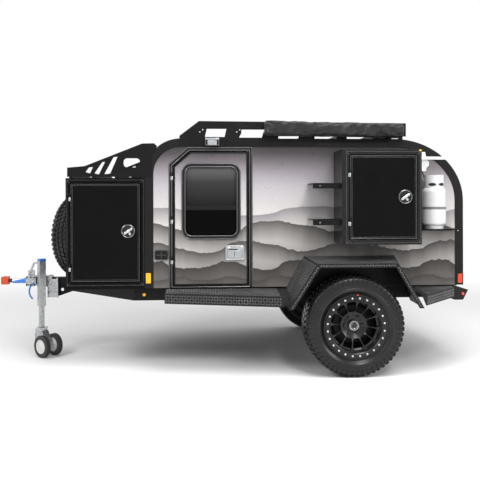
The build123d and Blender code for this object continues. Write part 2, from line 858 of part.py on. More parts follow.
def hinge_leaf_half(x, out, face, height):
    """Moving half of a lift-off hinge: the upper knuckle and its leaf on the door."""
    with Locations((x, -out, height + hinge_half / 2 + 1)):
        Cylinder(hinge_radius, hinge_half)
    block((x, x + hinge_plate), (-face - hinge_leaf, -face), (height + 1, height + hinge_half + 1))
    block((x, x + hinge_leaf), (-out, -face), (height + 1, height + hinge_half + 1))
    with Locations((x, -out, height + hinge_half / 2 + 1)):
        Cylinder(hinge_pin + fit_gap, hinge_half + 2, mode=Mode.SUBTRACT)


with BuildPart() as hinge_posts:
    for side in (1, -1):
        for height in door_hinge_heights:
            if side == 1:
                hinge_post(door_hinge_x, hinge_out, trim_face, height)
    mirror(about=Plane.XZ)
    for height in box_hinge_heights:
        hinge_post(box_hinge_x, hinge_out, body_half, height)
    for height in cabinet_hinge_heights:
        hinge_post(cabinet_hinge_x, cabinet_out + door_proud + hinge_radius, cabinet_out, height)
save(hinge_posts.part, "hinge_posts")

with BuildPart() as cabin_door_fittings:
    for height in door_hinge_heights:
        hinge_leaf_half(door_hinge_x, hinge_out, leaf_face, height)
    latch_x = (door_rear - latch_rear_in - latch_width, door_rear - latch_rear_in)
    latch_z = (latch_bottom, latch_bottom + latch_height)
    extrude(rectangle(side_plane(leaf_face), latch_x, latch_z, 14), amount=latch_proud)
    paddle_x = (latch_x[0] + 14, latch_x[1] - 44)
    paddle_z = (latch_z[0] + 16, latch_z[1] - 16)
    extrude(
        rectangle(side_plane(leaf_face + latch_proud - 8), paddle_x, paddle_z, 8),
        amount=9,
        mode=Mode.SUBTRACT,
    )
    lever_x = (paddle_x[0] + 10, paddle_x[1] - 10)
    lever_z = (paddle_z[0] + 14, paddle_z[1] - 14)
    extrude(rectangle(side_plane(leaf_face + latch_proud - 9), lever_x, lever_z, 6), amount=11)
save_pair(cabin_door_fittings.part, "cabin_door_fittings")


# ------------------------------------------------------------------ tongue box

def box_plan(inset, height):
    """Plan of the tongue box: square on the left, its front wall slanting back to the right."""
    shift = inset / math.cos(slant)
    kink = -box_flat_front - inset * math.tan(slant / 2)
    right = body_half - inset
    right_front = box_front + (right + box_flat_front) * math.tan(slant) + shift
    with BuildSketch(Plane.XY.offset(height)) as plan:
        with BuildLine():
            Polyline(
                (box_rear - inset, -body_half + inset),
                (box_front + inset, -body_half + inset),
                (box_front + inset, kink),
                (right_front, right),
                (box_rear - inset, right),
                close=True,
            )
        make_face()
    return plan.sketch


box_door_x = (axle_x - box_door_front, axle_x - box_door_rear)
box_door_z = (box_door_bottom, box_door_top)
with BuildPart() as tongue_box:
    extrude(box_plan(0, box_bottom), amount=box_top - box_bottom)
    extrude(box_plan(box_sheet, box_bottom + box_sheet), amount=box_top - box_bottom - 2 * box_sheet,
            mode=Mode.SUBTRACT)
    frame_x = (box_front + box_sheet, box_rear)
    frame_z = (box_bottom + box_sheet, box_top - box_sheet)
    inside_y = (-body_half + box_sheet, -body_half + box_frame_depth)
    block(frame_x, inside_y, frame_z)
    block(
        (box_door_x[0] - door_gap, box_door_x[1] + door_gap),
        (-body_half - 1, -body_half + box_frame_depth + 1),
        (box_door_z[0] - door_gap, box_door_z[1] + door_gap),
        mode=Mode.SUBTRACT,
    )
save(tongue_box.part, "tongue_box")

with BuildPart() as box_door:
    block(box_door_x, (-body_half - door_proud, -body_half - door_proud + box_door_thickness), box_door_z)
save(box_door.part, "box_door")


def knob(x, out, height):
    """Round recessed turn latch: a dished ring with a bar across it."""
    spot = Plane((x, -out, height), x_dir=(1, 0, 0), z_dir=(0, -1, 0))
    with BuildSketch(spot) as rim_face:
        Circle(knob_radius)
    extrude(rim_face.sketch, amount=knob_depth - 4)
    with BuildSketch(spot.offset(2)) as dish:
        Circle(knob_radius - 10)
    extrude(dish.sketch, amount=knob_depth, mode=Mode.SUBTRACT)
    with BuildSketch(spot.offset(2)) as grip:
        with Locations(Location((0, 0), 35)):
            RectangleRounded(2 * knob_radius - 24, 26, 12)
    extrude(grip.sketch, amount=knob_depth - 2)


with BuildPart() as box_door_fittings:
    for height in box_hinge_heights:
        hinge_leaf_half(box_hinge_x, hinge_out, body_half + door_proud, height)
    knob(box_door_x[1] - knob_inset, body_half + door_proud, (box_door_z[0] + box_door_z[1]) / 2 + 12)
save(box_door_fittings.part, "box_door_fittings")

# ------------------------------------------------------------------ side cabinet
cabinet_door_x = (cabinet_door_front, cabinet_door_rear)
cabinet_door_z = (cabinet_bottom + cabinet_frame_low, cabinet_top - cabinet_frame_top)
with BuildPart() as side_cabinet:
    block((cabinet_front, cabinet_rear), (-cabinet_out, -trim_face), (cabinet_bottom, cabinet_top))
    block(
        (cabinet_front + box_sheet, cabinet_rear - box_sheet),
        (-cabinet_out + box_frame_depth, -trim_face - box_sheet),
        (cabinet_bottom + box_sheet, cabinet_top - box_sheet),
        mode=Mode.SUBTRACT,
    )
    block(
        (cabinet_door_x[0] - door_gap, cabinet_door_x[1] + door_gap),
        (-cabinet_out - 1, -cabinet_out + box_frame_depth + 1),
        (cabinet_door_z[0] - door_gap, cabinet_door_z[1] + door_gap),
        mode=Mode.SUBTRACT,
    )
save(side_cabinet.part, "side_cabinet")

with BuildPart() as cabinet_door:
    block(
        cabinet_door_x,
        (-cabinet_out - door_proud, -cabinet_out - door_proud + box_door_thickness),
        cabinet_door_z,
    )
save(cabinet_door.part, "cabinet_door")

with BuildPart() as cabinet_door_fittings:
    cabinet_face = cabinet_out + door_proud
    for height in cabinet_hinge_heights:
        hinge_leaf_half(cabinet_hinge_x, cabinet_face + hinge_radius, cabinet_face, height)
    knob(cabinet_door_x[1] - knob_inset, cabinet_face, cabinet_knob_z)
save(cabinet_door_fittings.part, "cabinet_door_fittings")

# Two climbing steps between the cabinet and the cabin door, folded from chequer plate.
with BuildPart() as climbing_steps:
    step_front = cabinet_front - step_length
    for height in step_heights:
        block((step_front, cabinet_front), (-step_outside, -body_half), (height - step_sheet, height))
        lip_x = (step_front, cabinet_front)
        lip_z = (height - step_lip, height)
        extrude(rectangle(side_plane(step_outside - step_sheet), lip_x, lip_z), amount=step_sheet)
        for share in (0.26, 0.78):
            spot = (step_front + share * step_length, height - step_lip / 2)
            with Locations(Plane((spot[0], -step_outside, spot[1]), x_dir=(1, 0, 0), z_dir=(0, -1, 0))):
                Cylinder(8, 3 * step_sheet, mode=Mode.SUBTRACT)
    fillet(climbing_steps.edges().filter_by(Axis.Z).group_by(Axis.X)[0], radius=step_sheet / 4)
save(climbing_steps.part, "climbing_steps")

# ------------------------------------------------------------------ gas bottle
bottle_x = axle_x + bottle_behind
bottle_y = -body_half - bottle_out
bottle_axis = Axis((bottle_x, bottle_y, 0), (0, 0, 1))
bottle_plane = Plane((bottle_x, bottle_y, bottle_foot), x_dir=(1, 0, 0), z_dir=(0, -1, 0))
shoulder = bottle_height - bottle_dome
with BuildPart() as gas_bottle:
    with BuildSketch(bottle_plane) as half_bottle:
        with BuildLine():
            Line((0, foot_ring_height - 6), (bottle_radius - 26, foot_ring_height - 6))
            Line((bottle_radius - 26, foot_ring_height - 6), (bottle_radius, foot_ring_height + 22))
            Line((bottle_radius, foot_ring_height + 22), (bottle_radius, shoulder))
            ThreePointArc(
                (bottle_radius, shoulder),
                (bottle_radius * 0.74, shoulder + bottle_dome * 0.68),
                (0, bottle_height),
            )
            Line((0, bottle_height), (0, foot_ring_height - 6))
        make_face()
    revolve(axis=bottle_axis)
    with BuildSketch(Plane((bottle_x, bottle_y, bottle_foot))):
        Circle(bottle_radius - 20)
        Circle(bottle_radius - 24, mode=Mode.SUBTRACT)
    extrude(amount=foot_ring_height)
    with BuildSketch(Plane((bottle_x, bottle_y, bottle_foot + shoulder + 20))):
        Circle(collar_radius)
        Circle(collar_radius - collar_sheet, mode=Mode.SUBTRACT)
        with Locations((collar_radius, 0)):
            Rectangle(collar_radius, 70, mode=Mode.SUBTRACT)
    extrude(amount=collar_height - 20)
    with BuildSketch(Plane((bottle_x, bottle_y, bottle_foot + bottle_height - 4))):
        Circle(16)
    extrude(amount=44)
    with BuildSketch(Plane((bottle_x, bottle_y, bottle_foot + bottle_height + 40))):
        Circle(28)
    extrude(amount=16)
save(gas_bottle.part, "gas_bottle")

with BuildPart() as bottle_tray:
    tray_x = (axle_x + tray_front_behind, axle_x + tray_rear_behind)
    tray_y = (bottle_y - bottle_radius + 15, -body_half)
    block(tray_x, tray_y, (bottle_foot - tray_thickness, bottle_foot))
    flange_z = (bottle_foot - tray_thickness - tray_flange, bottle_foot - tray_thickness)
    block(tray_x, (-body_half - bracket_sheet, -body_half), flange_z)
save(bottle_tray.part, "bottle_tray")

# White bracket on the cabinet's rear face, with a bar above the bottle.
with BuildPart() as bottle_bracket:
    bracket_x = cabinet_rear + seat_gap
    bracket_z = (bracket_bottom, bracket_top)
    base_y = (bottle_y - bracket_half, bottle_y + bracket_half)
    block((bracket_x, bracket_x + bracket_sheet), base_y, bracket_z)
    block((bracket_x, bracket_x + bracket_width), (bottle_y - bracket_sheet, bottle_y), bracket_z)
    bar_z = (bracket_bar_z, bracket_bar_z + bracket_bar)
    block((bracket_x, bracket_x + bracket_bar_length), (bottle_y - bracket_bar, bottle_y), bar_z)
save(bottle_bracket.part, "bottle_bracket")

# ------------------------------------------------------------------ fenders
def fender_points(top_front, top_rear, top, foot_front, foot_rear, foot, sheet):
    """Trapezoid of the fender's side, drawn in by the sheet's thickness."""
    return (
        (axle_x - foot_front + sheet * 1.2, foot),
        (axle_x - top_front + sheet * 0.6, top - sheet),
        (axle_x + top_rear - sheet * 0.6, top - sheet),
        (axle_x + foot_rear - sheet * 1.2, foot),
    )


def fender_body(sheet):
    """Solid under the fender's skin; a negative sheet gives its outer surface."""
    inner_foot_front = foot_front_at_body
    inside = fender_points(
        fender_top_front, fender_top_rear, fender_top,
        inner_foot_front, foot_rear_at_body, fender_foot, sheet,
    )
    outside = fender_points(
        fender_top_front - fender_taper_front, fender_top_rear - fender_taper_rear,
        fender_top - fender_fall, fender_foot_front, fender_foot_rear, fender_foot, sheet,
    )
    ends = (polygon(side_plane(fender_inside), inside), polygon(side_plane(fender_outside), outside))
    with BuildPart() as body:
        loft(ends, ruled=True)
    return body.part


foot_front_at_body = fender_foot_front + 50
foot_rear_at_body = fender_foot_rear + 20
with BuildPart() as fender:
    add(fender_body(0))
    add(fender_body(fender_sheet), mode=Mode.SUBTRACT)
    outer_points = fender_points(
        fender_top_front - fender_taper_front, fender_top_rear - fender_taper_rear,
        fender_top - fender_fall, fender_foot_front, fender_foot_rear, fender_foot, 0,
    )
    inner_points = fender_points(
        fender_top_front - fender_taper_front, fender_top_rear - fender_taper_rear,
        fender_top - fender_fall, fender_foot_front, fender_foot_rear, fender_foot, fender_lip,
    )
    extrude(polygon(side_plane(fender_outside - fender_sheet), outer_points), amount=fender_sheet)
    extrude(
        polygon(side_plane(fender_outside - fender_sheet), inner_points),
        amount=fender_sheet,
        mode=Mode.SUBTRACT,
    )
    # The legs run on inwards under the body, to the side rail.
    body_legs = (
        fender_points(
            fender_top_front, fender_top_rear, fender_top,
            foot_front_at_body, foot_rear_at_body, fender_foot, sheet,
        )
        for sheet in (0, fender_sheet)
    )
    leg_span = fender_inside - rail_outside
    rail_side = side_plane(rail_outside + seat_gap)
    with BuildPart(mode=Mode.PRIVATE) as legs:
        extrude(polygon(rail_side, next(body_legs)), amount=leg_span)
        extrude(polygon(rail_side, next(body_legs)), amount=leg_span, mode=Mode.SUBTRACT)
        block(
            (axle_x - fender_foot_front, axle_x + fender_foot_front),
            (-fender_outside, 0),
            (body_bottom - seat_gap, fender_top),
            mode=Mode.SUBTRACT,
        )
        block(
            (axle_x - fender_foot_front, axle_x + fender_foot_front),
            (-wall_inside - seat_gap, 0),
            (rail_top - seat_gap, fender_top),
            mode=Mode.SUBTRACT,
        )
    add(legs.part)
save_pair(fender.part, "fender")

# Running boards: a sloping top and a deep outer face, widening towards the fender.
def board_section(x, outside):
    """Cross-section of a running board at x, out to the given distance."""
    rail = rail_outside + seat_gap
    top = rail_top - seat_gap
    edge = top - board_fall * (outside - body_half) / (fender_outside - body_half)
    return polygon(
        Plane((x, 0, 0), x_dir=(0, -1, 0), z_dir=(-1, 0, 0)),
        (
            (rail, top),
            (body_half, top),
            (outside, edge),
            (outside, edge - board_face),
            (outside - board_sheet, edge - board_face),
            (outside - board_sheet, edge - board_sheet),
            (body_half, top - board_sheet),
            (rail + board_sheet, top - board_sheet),
            (rail + board_sheet, top - board_flange),
            (rail, top - board_flange),
        ),
    )


def leg_reach(top_reach, foot_reach, height):
    """How far from the axle line a fender's leg stands at that height, with the boards' gap."""
    fall = (fender_top - height) / (fender_top - fender_foot)
    return top_reach + (foot_reach - top_reach) * fall + board_gap


board_low = fender_foot - fender_lip
front_high = leg_reach(fender_top_front, foot_front_at_body, rail_top)
front_low = leg_reach(fender_top_front, foot_front_at_body, board_low)
rear_high = leg_reach(fender_top_rear, foot_rear_at_body, rail_top)
rear_low = leg_reach(fender_top_rear, foot_rear_at_body, board_low)
with BuildPart() as running_board:
    board_ends = (
        (axle_x - board_front_ahead, board_front_outside),
        (axle_x - foot_front_at_body, fender_outside),
    )
    loft([board_section(*end) for end in board_ends], ruled=True)
    board_ends = (board_ends[-1], (axle_x - front_high, fender_outside))
    loft([board_section(*end) for end in board_ends], ruled=True)
    skirt_ends = (
        (axle_x + foot_rear_at_body, fender_outside),
        (axle_x + board_rear_behind, board_rear_outside),
    )
    loft([board_section(*end) for end in skirt_ends], ruled=True)
    skirt_ends = ((axle_x + rear_high, fender_outside), skirt_ends[0])
    loft([board_section(*end) for end in skirt_ends], ruled=True)
    # Ends cut to the slope of the fender's legs.
    wheel_space = (
        (axle_x - front_high, rail_top),
        (axle_x - front_low, board_low),
        (axle_x + rear_low, board_low),
        (axle_x + rear_high, rail_top),
    )
    extrude(polygon(side_plane(0), wheel_space), amount=fender_outside + board_sheet, mode=Mode.SUBTRACT)
save_pair(running_board.part, "running_board")

# ------------------------------------------------------------------ racks
rack_outside = trim_face + rack_sheet
rack_front = axle_x - rack_front_ahead
rack_length = rack_front_ahead + rack_rear_behind
rack_height = rack_top - rack_low
basket_front = box_front + basket_in
basket_length = axle_x - basket_rear_ahead - basket_front
basket_low = box_top + basket_lift
basket_height = basket_top - basket_low

# Outlines and openings of the plates, in shares of their length and height.
roof_plate = (
    (0.0, 0.0), (0.0, 0.389), (0.085, 1.0), (1.0, 0.94), (1.0, 0.384),
    (0.985, 0.384), (0.985, 0.148), (0.965, 0.148), (0.965, 0.365), (0.942, 0.35),
    (0.919, 0.153), (0.61, 0.123), (0.598, 0.0),
)
roof_windows = (
    # front end, rear end, bottom, top, lean
    (0.111, 0.204, 0.345, 0.675, 0.008),
    (0.26, 0.37, 0.32, 0.65, 0.0114),
    (0.432, 0.521, 0.281, 0.379, 0.0),
    (0.592, 0.689, 0.271, 0.369, 0.0),
    (0.735, 0.852, 0.261, 0.36, 0.0),
)
basket_plate = (
    (0.0, 0.0), (0.0, 0.275), (0.193, 0.321), (0.832, 0.993),
    (0.966, 1.0), (1.0, 0.918), (0.938, 0.561), (0.938, 0.0),
)
basket_windows = (
    # slanted stripes: bottom front, bottom rear, top rear, top front
    ((0.204, 0.146), (0.253, 0.104), (0.284, 0.289), (0.243, 0.279)),
    ((0.299, 0.089), (0.349, 0.064), (0.419, 0.443), (0.389, 0.436)),
    ((0.408, 0.061), (0.468, 0.05), (0.558, 0.596), (0.514, 0.582)),
)
basket_slot_x = (0.626, 0.807)
basket_slot_z = (0.282, 0.55)


def on_roof_plate(along, up):
    """Point of the roof rack's plate at those shares of its length and height."""
    return (rack_front + along * rack_length, rack_low + up * rack_height)


def on_basket_plate(along, up):
    """Point of the front rack's plate at those shares of its length and height."""
    return (basket_front + along * basket_length, basket_low + up * basket_height)


with BuildPart() as roof_rack:
    for side in (1, -1):
        plate = side_plane(side * trim_face)
        outline = [on_roof_plate(*point) for point in roof_plate]
        extrude(polygon(plate, outline), amount=side * rack_sheet)
        for front, rear, bottom, top, lean in roof_windows:
            hole = (
                on_roof_plate(front + lean, top),
                on_roof_plate(rear, top),
                on_roof_plate(rear - lean, bottom),
                on_roof_plate(front, bottom),
            )
            extrude(polygon(plate, hole), amount=side * rack_sheet, mode=Mode.SUBTRACT)
    first = rack_front + rack_bar_in
    pitch = (hatch_hinge_x - rack_bar_clear - first) / (rack_bars - 1)
    for index in range(rack_bars):
        spot = first + index * pitch
        bar_z = (rack_bar_z, rack_bar_z + rack_tube_height)
        block((spot, spot + rack_tube), (-trim_face, trim_face), bar_z)
save(roof_rack.part, "roof_rack")

with BuildPart() as front_rack:
    for side in (1, -1):
        plate = side_plane(side * trim_face)
        outline = [on_basket_plate(*point) for point in basket_plate]
        extrude(polygon(plate, outline), amount=side * rack_sheet)
        for stripe in basket_windows:
            hole = [on_basket_plate(*point) for point in stripe]
            extrude(polygon(plate, hole), amount=side * rack_sheet, mode=Mode.SUBTRACT)
        low = on_basket_plate(basket_slot_x[0], basket_slot_z[0])
        high = on_basket_plate(basket_slot_x[1], basket_slot_z[1])
        slot_round = (high[1] - low[1]) * 0.4
        slot = rectangle(plate, (low[0], high[0]), (low[1], high[1]), slot_round)
        extrude(slot, amount=side * rack_sheet, mode=Mode.SUBTRACT)
    first = box_front + basket_bar_in
    pitch = (body_front - basket_bar_rear - first) / (basket_bars - 1)
    for index in range(basket_bars):
        spot = first + index * pitch
        block((spot, spot + rack_tube), (-trim_face, trim_face), (box_top, box_top + rack_tube_height))
save(front_rack.part, "front_rack")

# ------------------------------------------------------------------ awning and lamp
bag_front = axle_x - bag_front_ahead
bag_out = rack_outside + seat_gap
with BuildPart() as awning_bag:
    tilt = math.radians(bag_tilt)
    start = Plane((bag_front, 0, rack_top), x_dir=(0, -1, 0), z_dir=(-math.cos(tilt), 0, math.sin(tilt)))
    with BuildSketch(start):
        with Locations((bag_out + bag_depth / 2, -bag_height / 2)):
            RectangleRounded(bag_depth, bag_height, bag_round)
    extrude(amount=-bag_length)
    fillet(awning_bag.faces().sort_by(Axis.X)[0].edges(), radius=20)
    fillet(awning_bag.faces().sort_by(Axis.X)[-1].edges(), radius=20)
save(awning_bag.part, "awning_bag")

with BuildPart() as flood_lamp:
    lamp_x = (axle_x - lamp_front_ahead, axle_x - lamp_rear_ahead)
    lamp_z = (lamp_bottom, lamp_top)
    extrude(rectangle(side_plane(rack_outside), lamp_x, lamp_z, lamp_round), amount=lamp_depth)
save(flood_lamp.part, "flood_lamp")

# ------------------------------------------------------------------ coupling
coupler_tip = axle_x - tongue_reach
sleeve_front = coupler_tip + sleeve_in
block_front = coupler_tip + block_in
with BuildPart() as coupler_head:
    with Locations(Location((coupler_tip + neck_length / 2, 0, tongue_z), (0, 90, 0))):
        Cylinder(neck_radius, neck_length)
    catch_z = (tongue_z - catch_low, tongue_z + catch_high)
    block((coupler_tip, coupler_tip + catch_length), (-catch_half, catch_half), catch_z)
    fillet(coupler_head.edges().filter_by(Axis.Y).group_by(Axis.X)[0], radius=catch_round)
    with Locations((coupler_tip + pin_bore_in, 0, tongue_z)):
        Cylinder(pin_bore, 3 * catch_half, mode=Mode.SUBTRACT)
save(coupler_head.part, "coupler_head")

with BuildPart() as coupler_sleeve:
    with BuildSketch(Plane((sleeve_front, 0, tongue_z), x_dir=(0, 1, 0), z_dir=(1, 0, 0))):
        Circle(sleeve_radius)
        Circle(neck_radius + seat_gap, mode=Mode.SUBTRACT)
    extrude(amount=block_front - sleeve_front)
save(coupler_sleeve.part, "coupler_sleeve")

with BuildPart() as coupler_block:
    block_x = (block_front, tongue_end)
    block(block_x, (-block_half, block_half), (tongue_z - block_low, tongue_z + block_high))
    fillet(coupler_block.edges().filter_by(Axis.Y), radius=block_round)
    for share in (0.25, 0.75):
        spot = block_front + share * (tongue_end - block_front)
        with Locations(Location((spot, 0, tongue_z), (90, 0, 0))):
            Cylinder(block_bolt, block_bolt_length)
save(coupler_block.part, "coupler_block")

with BuildPart() as hand_brake:
    lever_x = block_front + brake_in
    lever_z = tongue_z + block_high
    sheet_y = (-brake_sheet / 2, brake_sheet / 2)
    block((lever_x, lever_x + brake_foot), sheet_y, (lever_z, lever_z + brake_rise))
    with BuildSketch(side_plane(brake_lever_half)) as lever:
        with BuildLine():
            Polyline(
                (lever_x + brake_foot / 6, lever_z + brake_rise / 3),
                (lever_x + brake_foot * 0.85, lever_z + brake_lever_rise),
                (lever_x + brake_foot / 6 + brake_lever_run, lever_z + brake_lever_rise * 1.07),
            )
        trace(line_width=brake_lever_width)
    extrude(amount=-2 * brake_lever_half)
save(hand_brake.part, "hand_brake")

# ------------------------------------------------------------------ jack
jack_x = axle_x - jack_ahead
jack_y = -jack_out


def turned_tube(x, y, size, turn, z_range, tube_wall=0.0, mode=Mode.ADD):
    """Square tube standing upright, turned about its own axis."""
    with BuildSketch(Plane((x, y, z_range[0]))) as section:
        with Locations(Location((0, 0), turn)):
            Rectangle(size, size)
            if tube_wall > 0:
                Rectangle(size - 2 * tube_wall, size - 2 * tube_wall, mode=Mode.SUBTRACT)
    extrude(section.sketch, amount=z_range[1] - z_range[0], mode=mode)


jack_bore = jack_tube - 2 * jack_wall
with BuildPart() as jack_column:
    turned_tube(jack_x, jack_y, jack_tube, jack_turn, (jack_foot, jack_top))
    # Clamp round the tongue tube.
    clamp_z = (tongue_z - tongue_tube / 2 - clamp_low, tongue_z + tongue_tube / 2 + clamp_sheet)
    clamp_x = (jack_x - clamp_ahead, jack_x + clamp_behind)
    half = tongue_tube / 2
    block(clamp_x, (-half - clamp_sheet, -half), clamp_z)
    block(clamp_x, (half, half + clamp_sheet), clamp_z)
    block(clamp_x, (-half - clamp_sheet, half + clamp_sheet), (tongue_z + half, clamp_z[1]))
    lug_x = (jack_x - clamp_lug, jack_x + clamp_lug)
    block(lug_x, (jack_y + jack_tube / 2, -half - clamp_sheet), clamp_z)
    bore_z = (jack_foot + jack_guide, jack_top - jack_cap)
    turned_tube(jack_x, jack_y, jack_bore, jack_turn, bore_z, mode=Mode.SUBTRACT)
    guide_bore = leg_tube + 2 * seat_gap
    guide_z = (jack_foot, jack_foot + jack_guide)
    turned_tube(jack_x, jack_y, guide_bore, jack_turn, guide_z, mode=Mode.SUBTRACT)
save(jack_column.part, "jack_column")

with BuildPart() as jack_leg:
    turned_tube(jack_x, jack_y, leg_tube, jack_turn, (leg_foot, leg_top), jack_wall)
    shoe_z = (leg_top - jack_guide, leg_top)
    turned_tube(jack_x, jack_y, jack_bore - 2 * seat_gap, jack_turn, shoe_z, jack_wall * 2)
    plate_x = (jack_x - leg_plate_half, jack_x + leg_plate_half)
    plate_y = (jack_y - leg_plate_half, jack_y + leg_plate_half)
    block(plate_x, plate_y, (leg_foot - leg_plate, leg_foot))
save(jack_leg.part, "jack_leg")

# Caster as parked: it trails behind the leg, turned outwards.
turn = math.radians(caster_turn)
trail = Vector(math.cos(turn), -math.sin(turn), 0)
across = Vector(math.sin(turn), math.cos(turn), 0)
caster_centre = Vector(jack_x, jack_y, jack_wheel_radius) + trail * caster_trail
caster = Plane(caster_centre, x_dir=trail, z_dir=-across)
fork_top = leg_foot - leg_plate - seat_gap
with BuildPart() as jack_fork:
    with Locations((jack_x, jack_y, fork_top - fork_head_height / 2)):
        Cylinder(fork_head, fork_head_height)
    fork_plane = Plane(Vector(jack_x, jack_y, 0), x_dir=trail, z_dir=-across).offset(-fork_half)
    fork_outline = (
        (-fork_head, fork_top - fork_head_height),
        (fork_head, fork_top - fork_head_height),
        (caster_trail + 20, jack_wheel_radius + 20),
        (caster_trail + 20, jack_wheel_radius - 20),
        (0, fork_heel_bottom),
        (-fork_heel, fork_heel_bottom),
        (-fork_heel, fork_heel_top),
        (-fork_head, fork_heel_top),
    )
    extrude(polygon(fork_plane, fork_outline), amount=2 * fork_half)
    with BuildSketch(caster.offset(-fork_half)):
        Circle(jack_axle_radius + fit_gap)
    extrude(amount=2 * fork_half, mode=Mode.SUBTRACT)
save(jack_fork.part, "jack_fork")

with BuildPart() as jack_wheels:
    with BuildSketch(caster.offset(-jack_wheel_spread - jack_wheel_width / 2)):
        Circle(jack_axle_radius)
    extrude(amount=2 * jack_wheel_spread + jack_wheel_width)
    for side in (1, -1):
        with BuildSketch(caster.offset(side * jack_wheel_spread - jack_wheel_width / 2)):
            Circle(jack_wheel_radius)
        extrude(amount=jack_wheel_width)
    fillet(jack_wheels.edges().filter_by(GeomType.CIRCLE).group_by(SortBy.RADIUS)[-1], radius=jack_wheel_round)
save(jack_wheels.part, "jack_wheels")

# ------------------------------------------------------------------ inlet and markers
with BuildPart() as power_inlet:
    inlet_x = (axle_x - inlet_front_ahead, axle_x - inlet_rear_ahead)
    inlet_z = (inlet_bottom, inlet_top)
    extrude(rectangle(side_plane(body_half), inlet_x, inlet_z, inlet_round), amount=inlet_depth)
save(power_inlet.part, "power_inlet")

with BuildPart() as amber_markers:
    amber_x = (body_front + amber_in, body_front + amber_in + amber_width)
    amber_z = (amber_bottom, amber_top)
    extrude(rectangle(side_plane(trim_face), amber_x, amber_z), amount=marker_depth)
    mirror(about=Plane.XZ)
save(amber_markers.part, "amber_markers")

with BuildPart() as red_markers:
    red_x = (body_rear - red_in - red_width, body_rear - red_in)
    red_z = (red_bottom, red_top)
    extrude(rectangle(side_plane(trim_face), red_x, red_z), amount=marker_depth)
    mirror(about=Plane.XZ)
save(red_markers.part, "red_markers")
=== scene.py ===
"""Off-road teardrop trailer: finishes, tread, chequer lugs, latches, awning cloth and trim on the built frame.

Metres, X to the rear, Y to the right, Z up. Every piece rides on a body of the frame.
"""
import json
import math

import bmesh
import bpy
import numpy as np
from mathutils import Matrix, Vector

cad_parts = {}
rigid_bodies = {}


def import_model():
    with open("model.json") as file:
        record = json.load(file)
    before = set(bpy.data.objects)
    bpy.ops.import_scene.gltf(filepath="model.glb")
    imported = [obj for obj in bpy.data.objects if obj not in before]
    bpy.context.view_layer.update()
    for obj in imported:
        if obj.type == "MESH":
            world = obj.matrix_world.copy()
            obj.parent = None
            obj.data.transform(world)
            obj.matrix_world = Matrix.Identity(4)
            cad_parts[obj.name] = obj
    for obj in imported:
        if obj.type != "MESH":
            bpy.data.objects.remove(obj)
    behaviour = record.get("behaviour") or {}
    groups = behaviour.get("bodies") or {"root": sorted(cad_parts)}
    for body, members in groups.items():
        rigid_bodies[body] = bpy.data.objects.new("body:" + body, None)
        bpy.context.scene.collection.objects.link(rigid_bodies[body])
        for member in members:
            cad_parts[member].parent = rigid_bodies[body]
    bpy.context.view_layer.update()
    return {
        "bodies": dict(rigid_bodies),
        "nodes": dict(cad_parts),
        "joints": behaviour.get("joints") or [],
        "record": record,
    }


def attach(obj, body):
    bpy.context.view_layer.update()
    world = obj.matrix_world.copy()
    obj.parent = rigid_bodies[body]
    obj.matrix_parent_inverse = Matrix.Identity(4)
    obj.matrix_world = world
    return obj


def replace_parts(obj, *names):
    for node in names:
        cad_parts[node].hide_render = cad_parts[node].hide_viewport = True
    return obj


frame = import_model()
nodes = frame["nodes"]
scene = bpy.context.scene

# ---------------------------------------------------------------- camera
# A normal lens at chest height, abreast of the cabin door and turned slightly towards the rear. The frame is shifted
# so that the horizon stands above its middle while the camera stays level.
CAMERA_PLACE = (-0.2205, -6.215, 1.428)
CAMERA_TURN = (90.0, 0.17, -3.473)      # degrees
LENS = 48.75
SENSOR = 36.0
HORIZON_SHIFT = -40 / 480

camera_data = bpy.data.cameras.new("camera")
camera_data.lens = LENS
camera_data.sensor_width = SENSOR
camera_data.shift_y = HORIZON_SHIFT
camera = bpy.data.objects.new("camera", camera_data)
camera.location = CAMERA_PLACE
camera.rotation_euler = [math.radians(angle) for angle in CAMERA_TURN]
scene.collection.objects.link(camera)
scene.camera = camera
scene.view_settings.view_transform = "Standard"


def linear(code, alpha=1.0):
    """Linear RGBA of an sRGB hex colour: each channel by the sRGB curve."""
    channels = [int(code[i:i + 2], 16) / 255 for i in (1, 3, 5)]
    return [c / 12.92 if c <= 0.04045 else ((c + 0.055) / 1.055) ** 2.4 for c in channels] + [alpha]


def add_node(tree, kind, inputs=None, **settings):
    """Adds one shader node: settings are its properties, inputs its sockets, each a value or an output."""
    made = tree.nodes.new("ShaderNode" + kind)
    for name, value in settings.items():
        setattr(made, name, value)
    for name, value in (inputs or {}).items():
        if isinstance(value, bpy.types.NodeSocket):
            tree.links.new(value, made.inputs[name])
        else:
            made.inputs[name].default_value = value
    return made


def new_tree(name):
    """A material's empty node tree, with the material."""
    material = bpy.data.materials.new(name)
    material.use_nodes = True
    material.node_tree.nodes.clear()
    return material, material.node_tree


# ---------------------------------------------------------------- studio
# Pale floor that fades into a white background, and four soft boxes: a key above the front left, a small one in
# front of the wheel, a top light and a rear light.
FLOOR_SIZE = 60.0
FADE_START = 3.4
FADE_END = 7.0
LAMPS = (
    # name, place, aimed at, size, watts
    ("key_softbox", (-4.4, -3.8, 4.4), (0.0, 0.0, 1.0), 2.2, 150.0),
    ("front_softbox", (1.6, -5.4, 4.4), (0.7, -0.9, 0.5), 1.0, 80.0),
    ("top_softbox", (1.2, -2.6, 4.9), (0.4, -0.6, 0.8), 2.6, 155.0),
    ("rear_softbox", (5.6, -4.0, 2.6), (1.4, -0.5, 0.9), 2.0, 90.0),
)
HORIZON_LEVEL = 0.20
ZENITH_LEVEL = 0.85
ZENITH_START = 0.9      # upward part of the direction from which the room is at its brightest


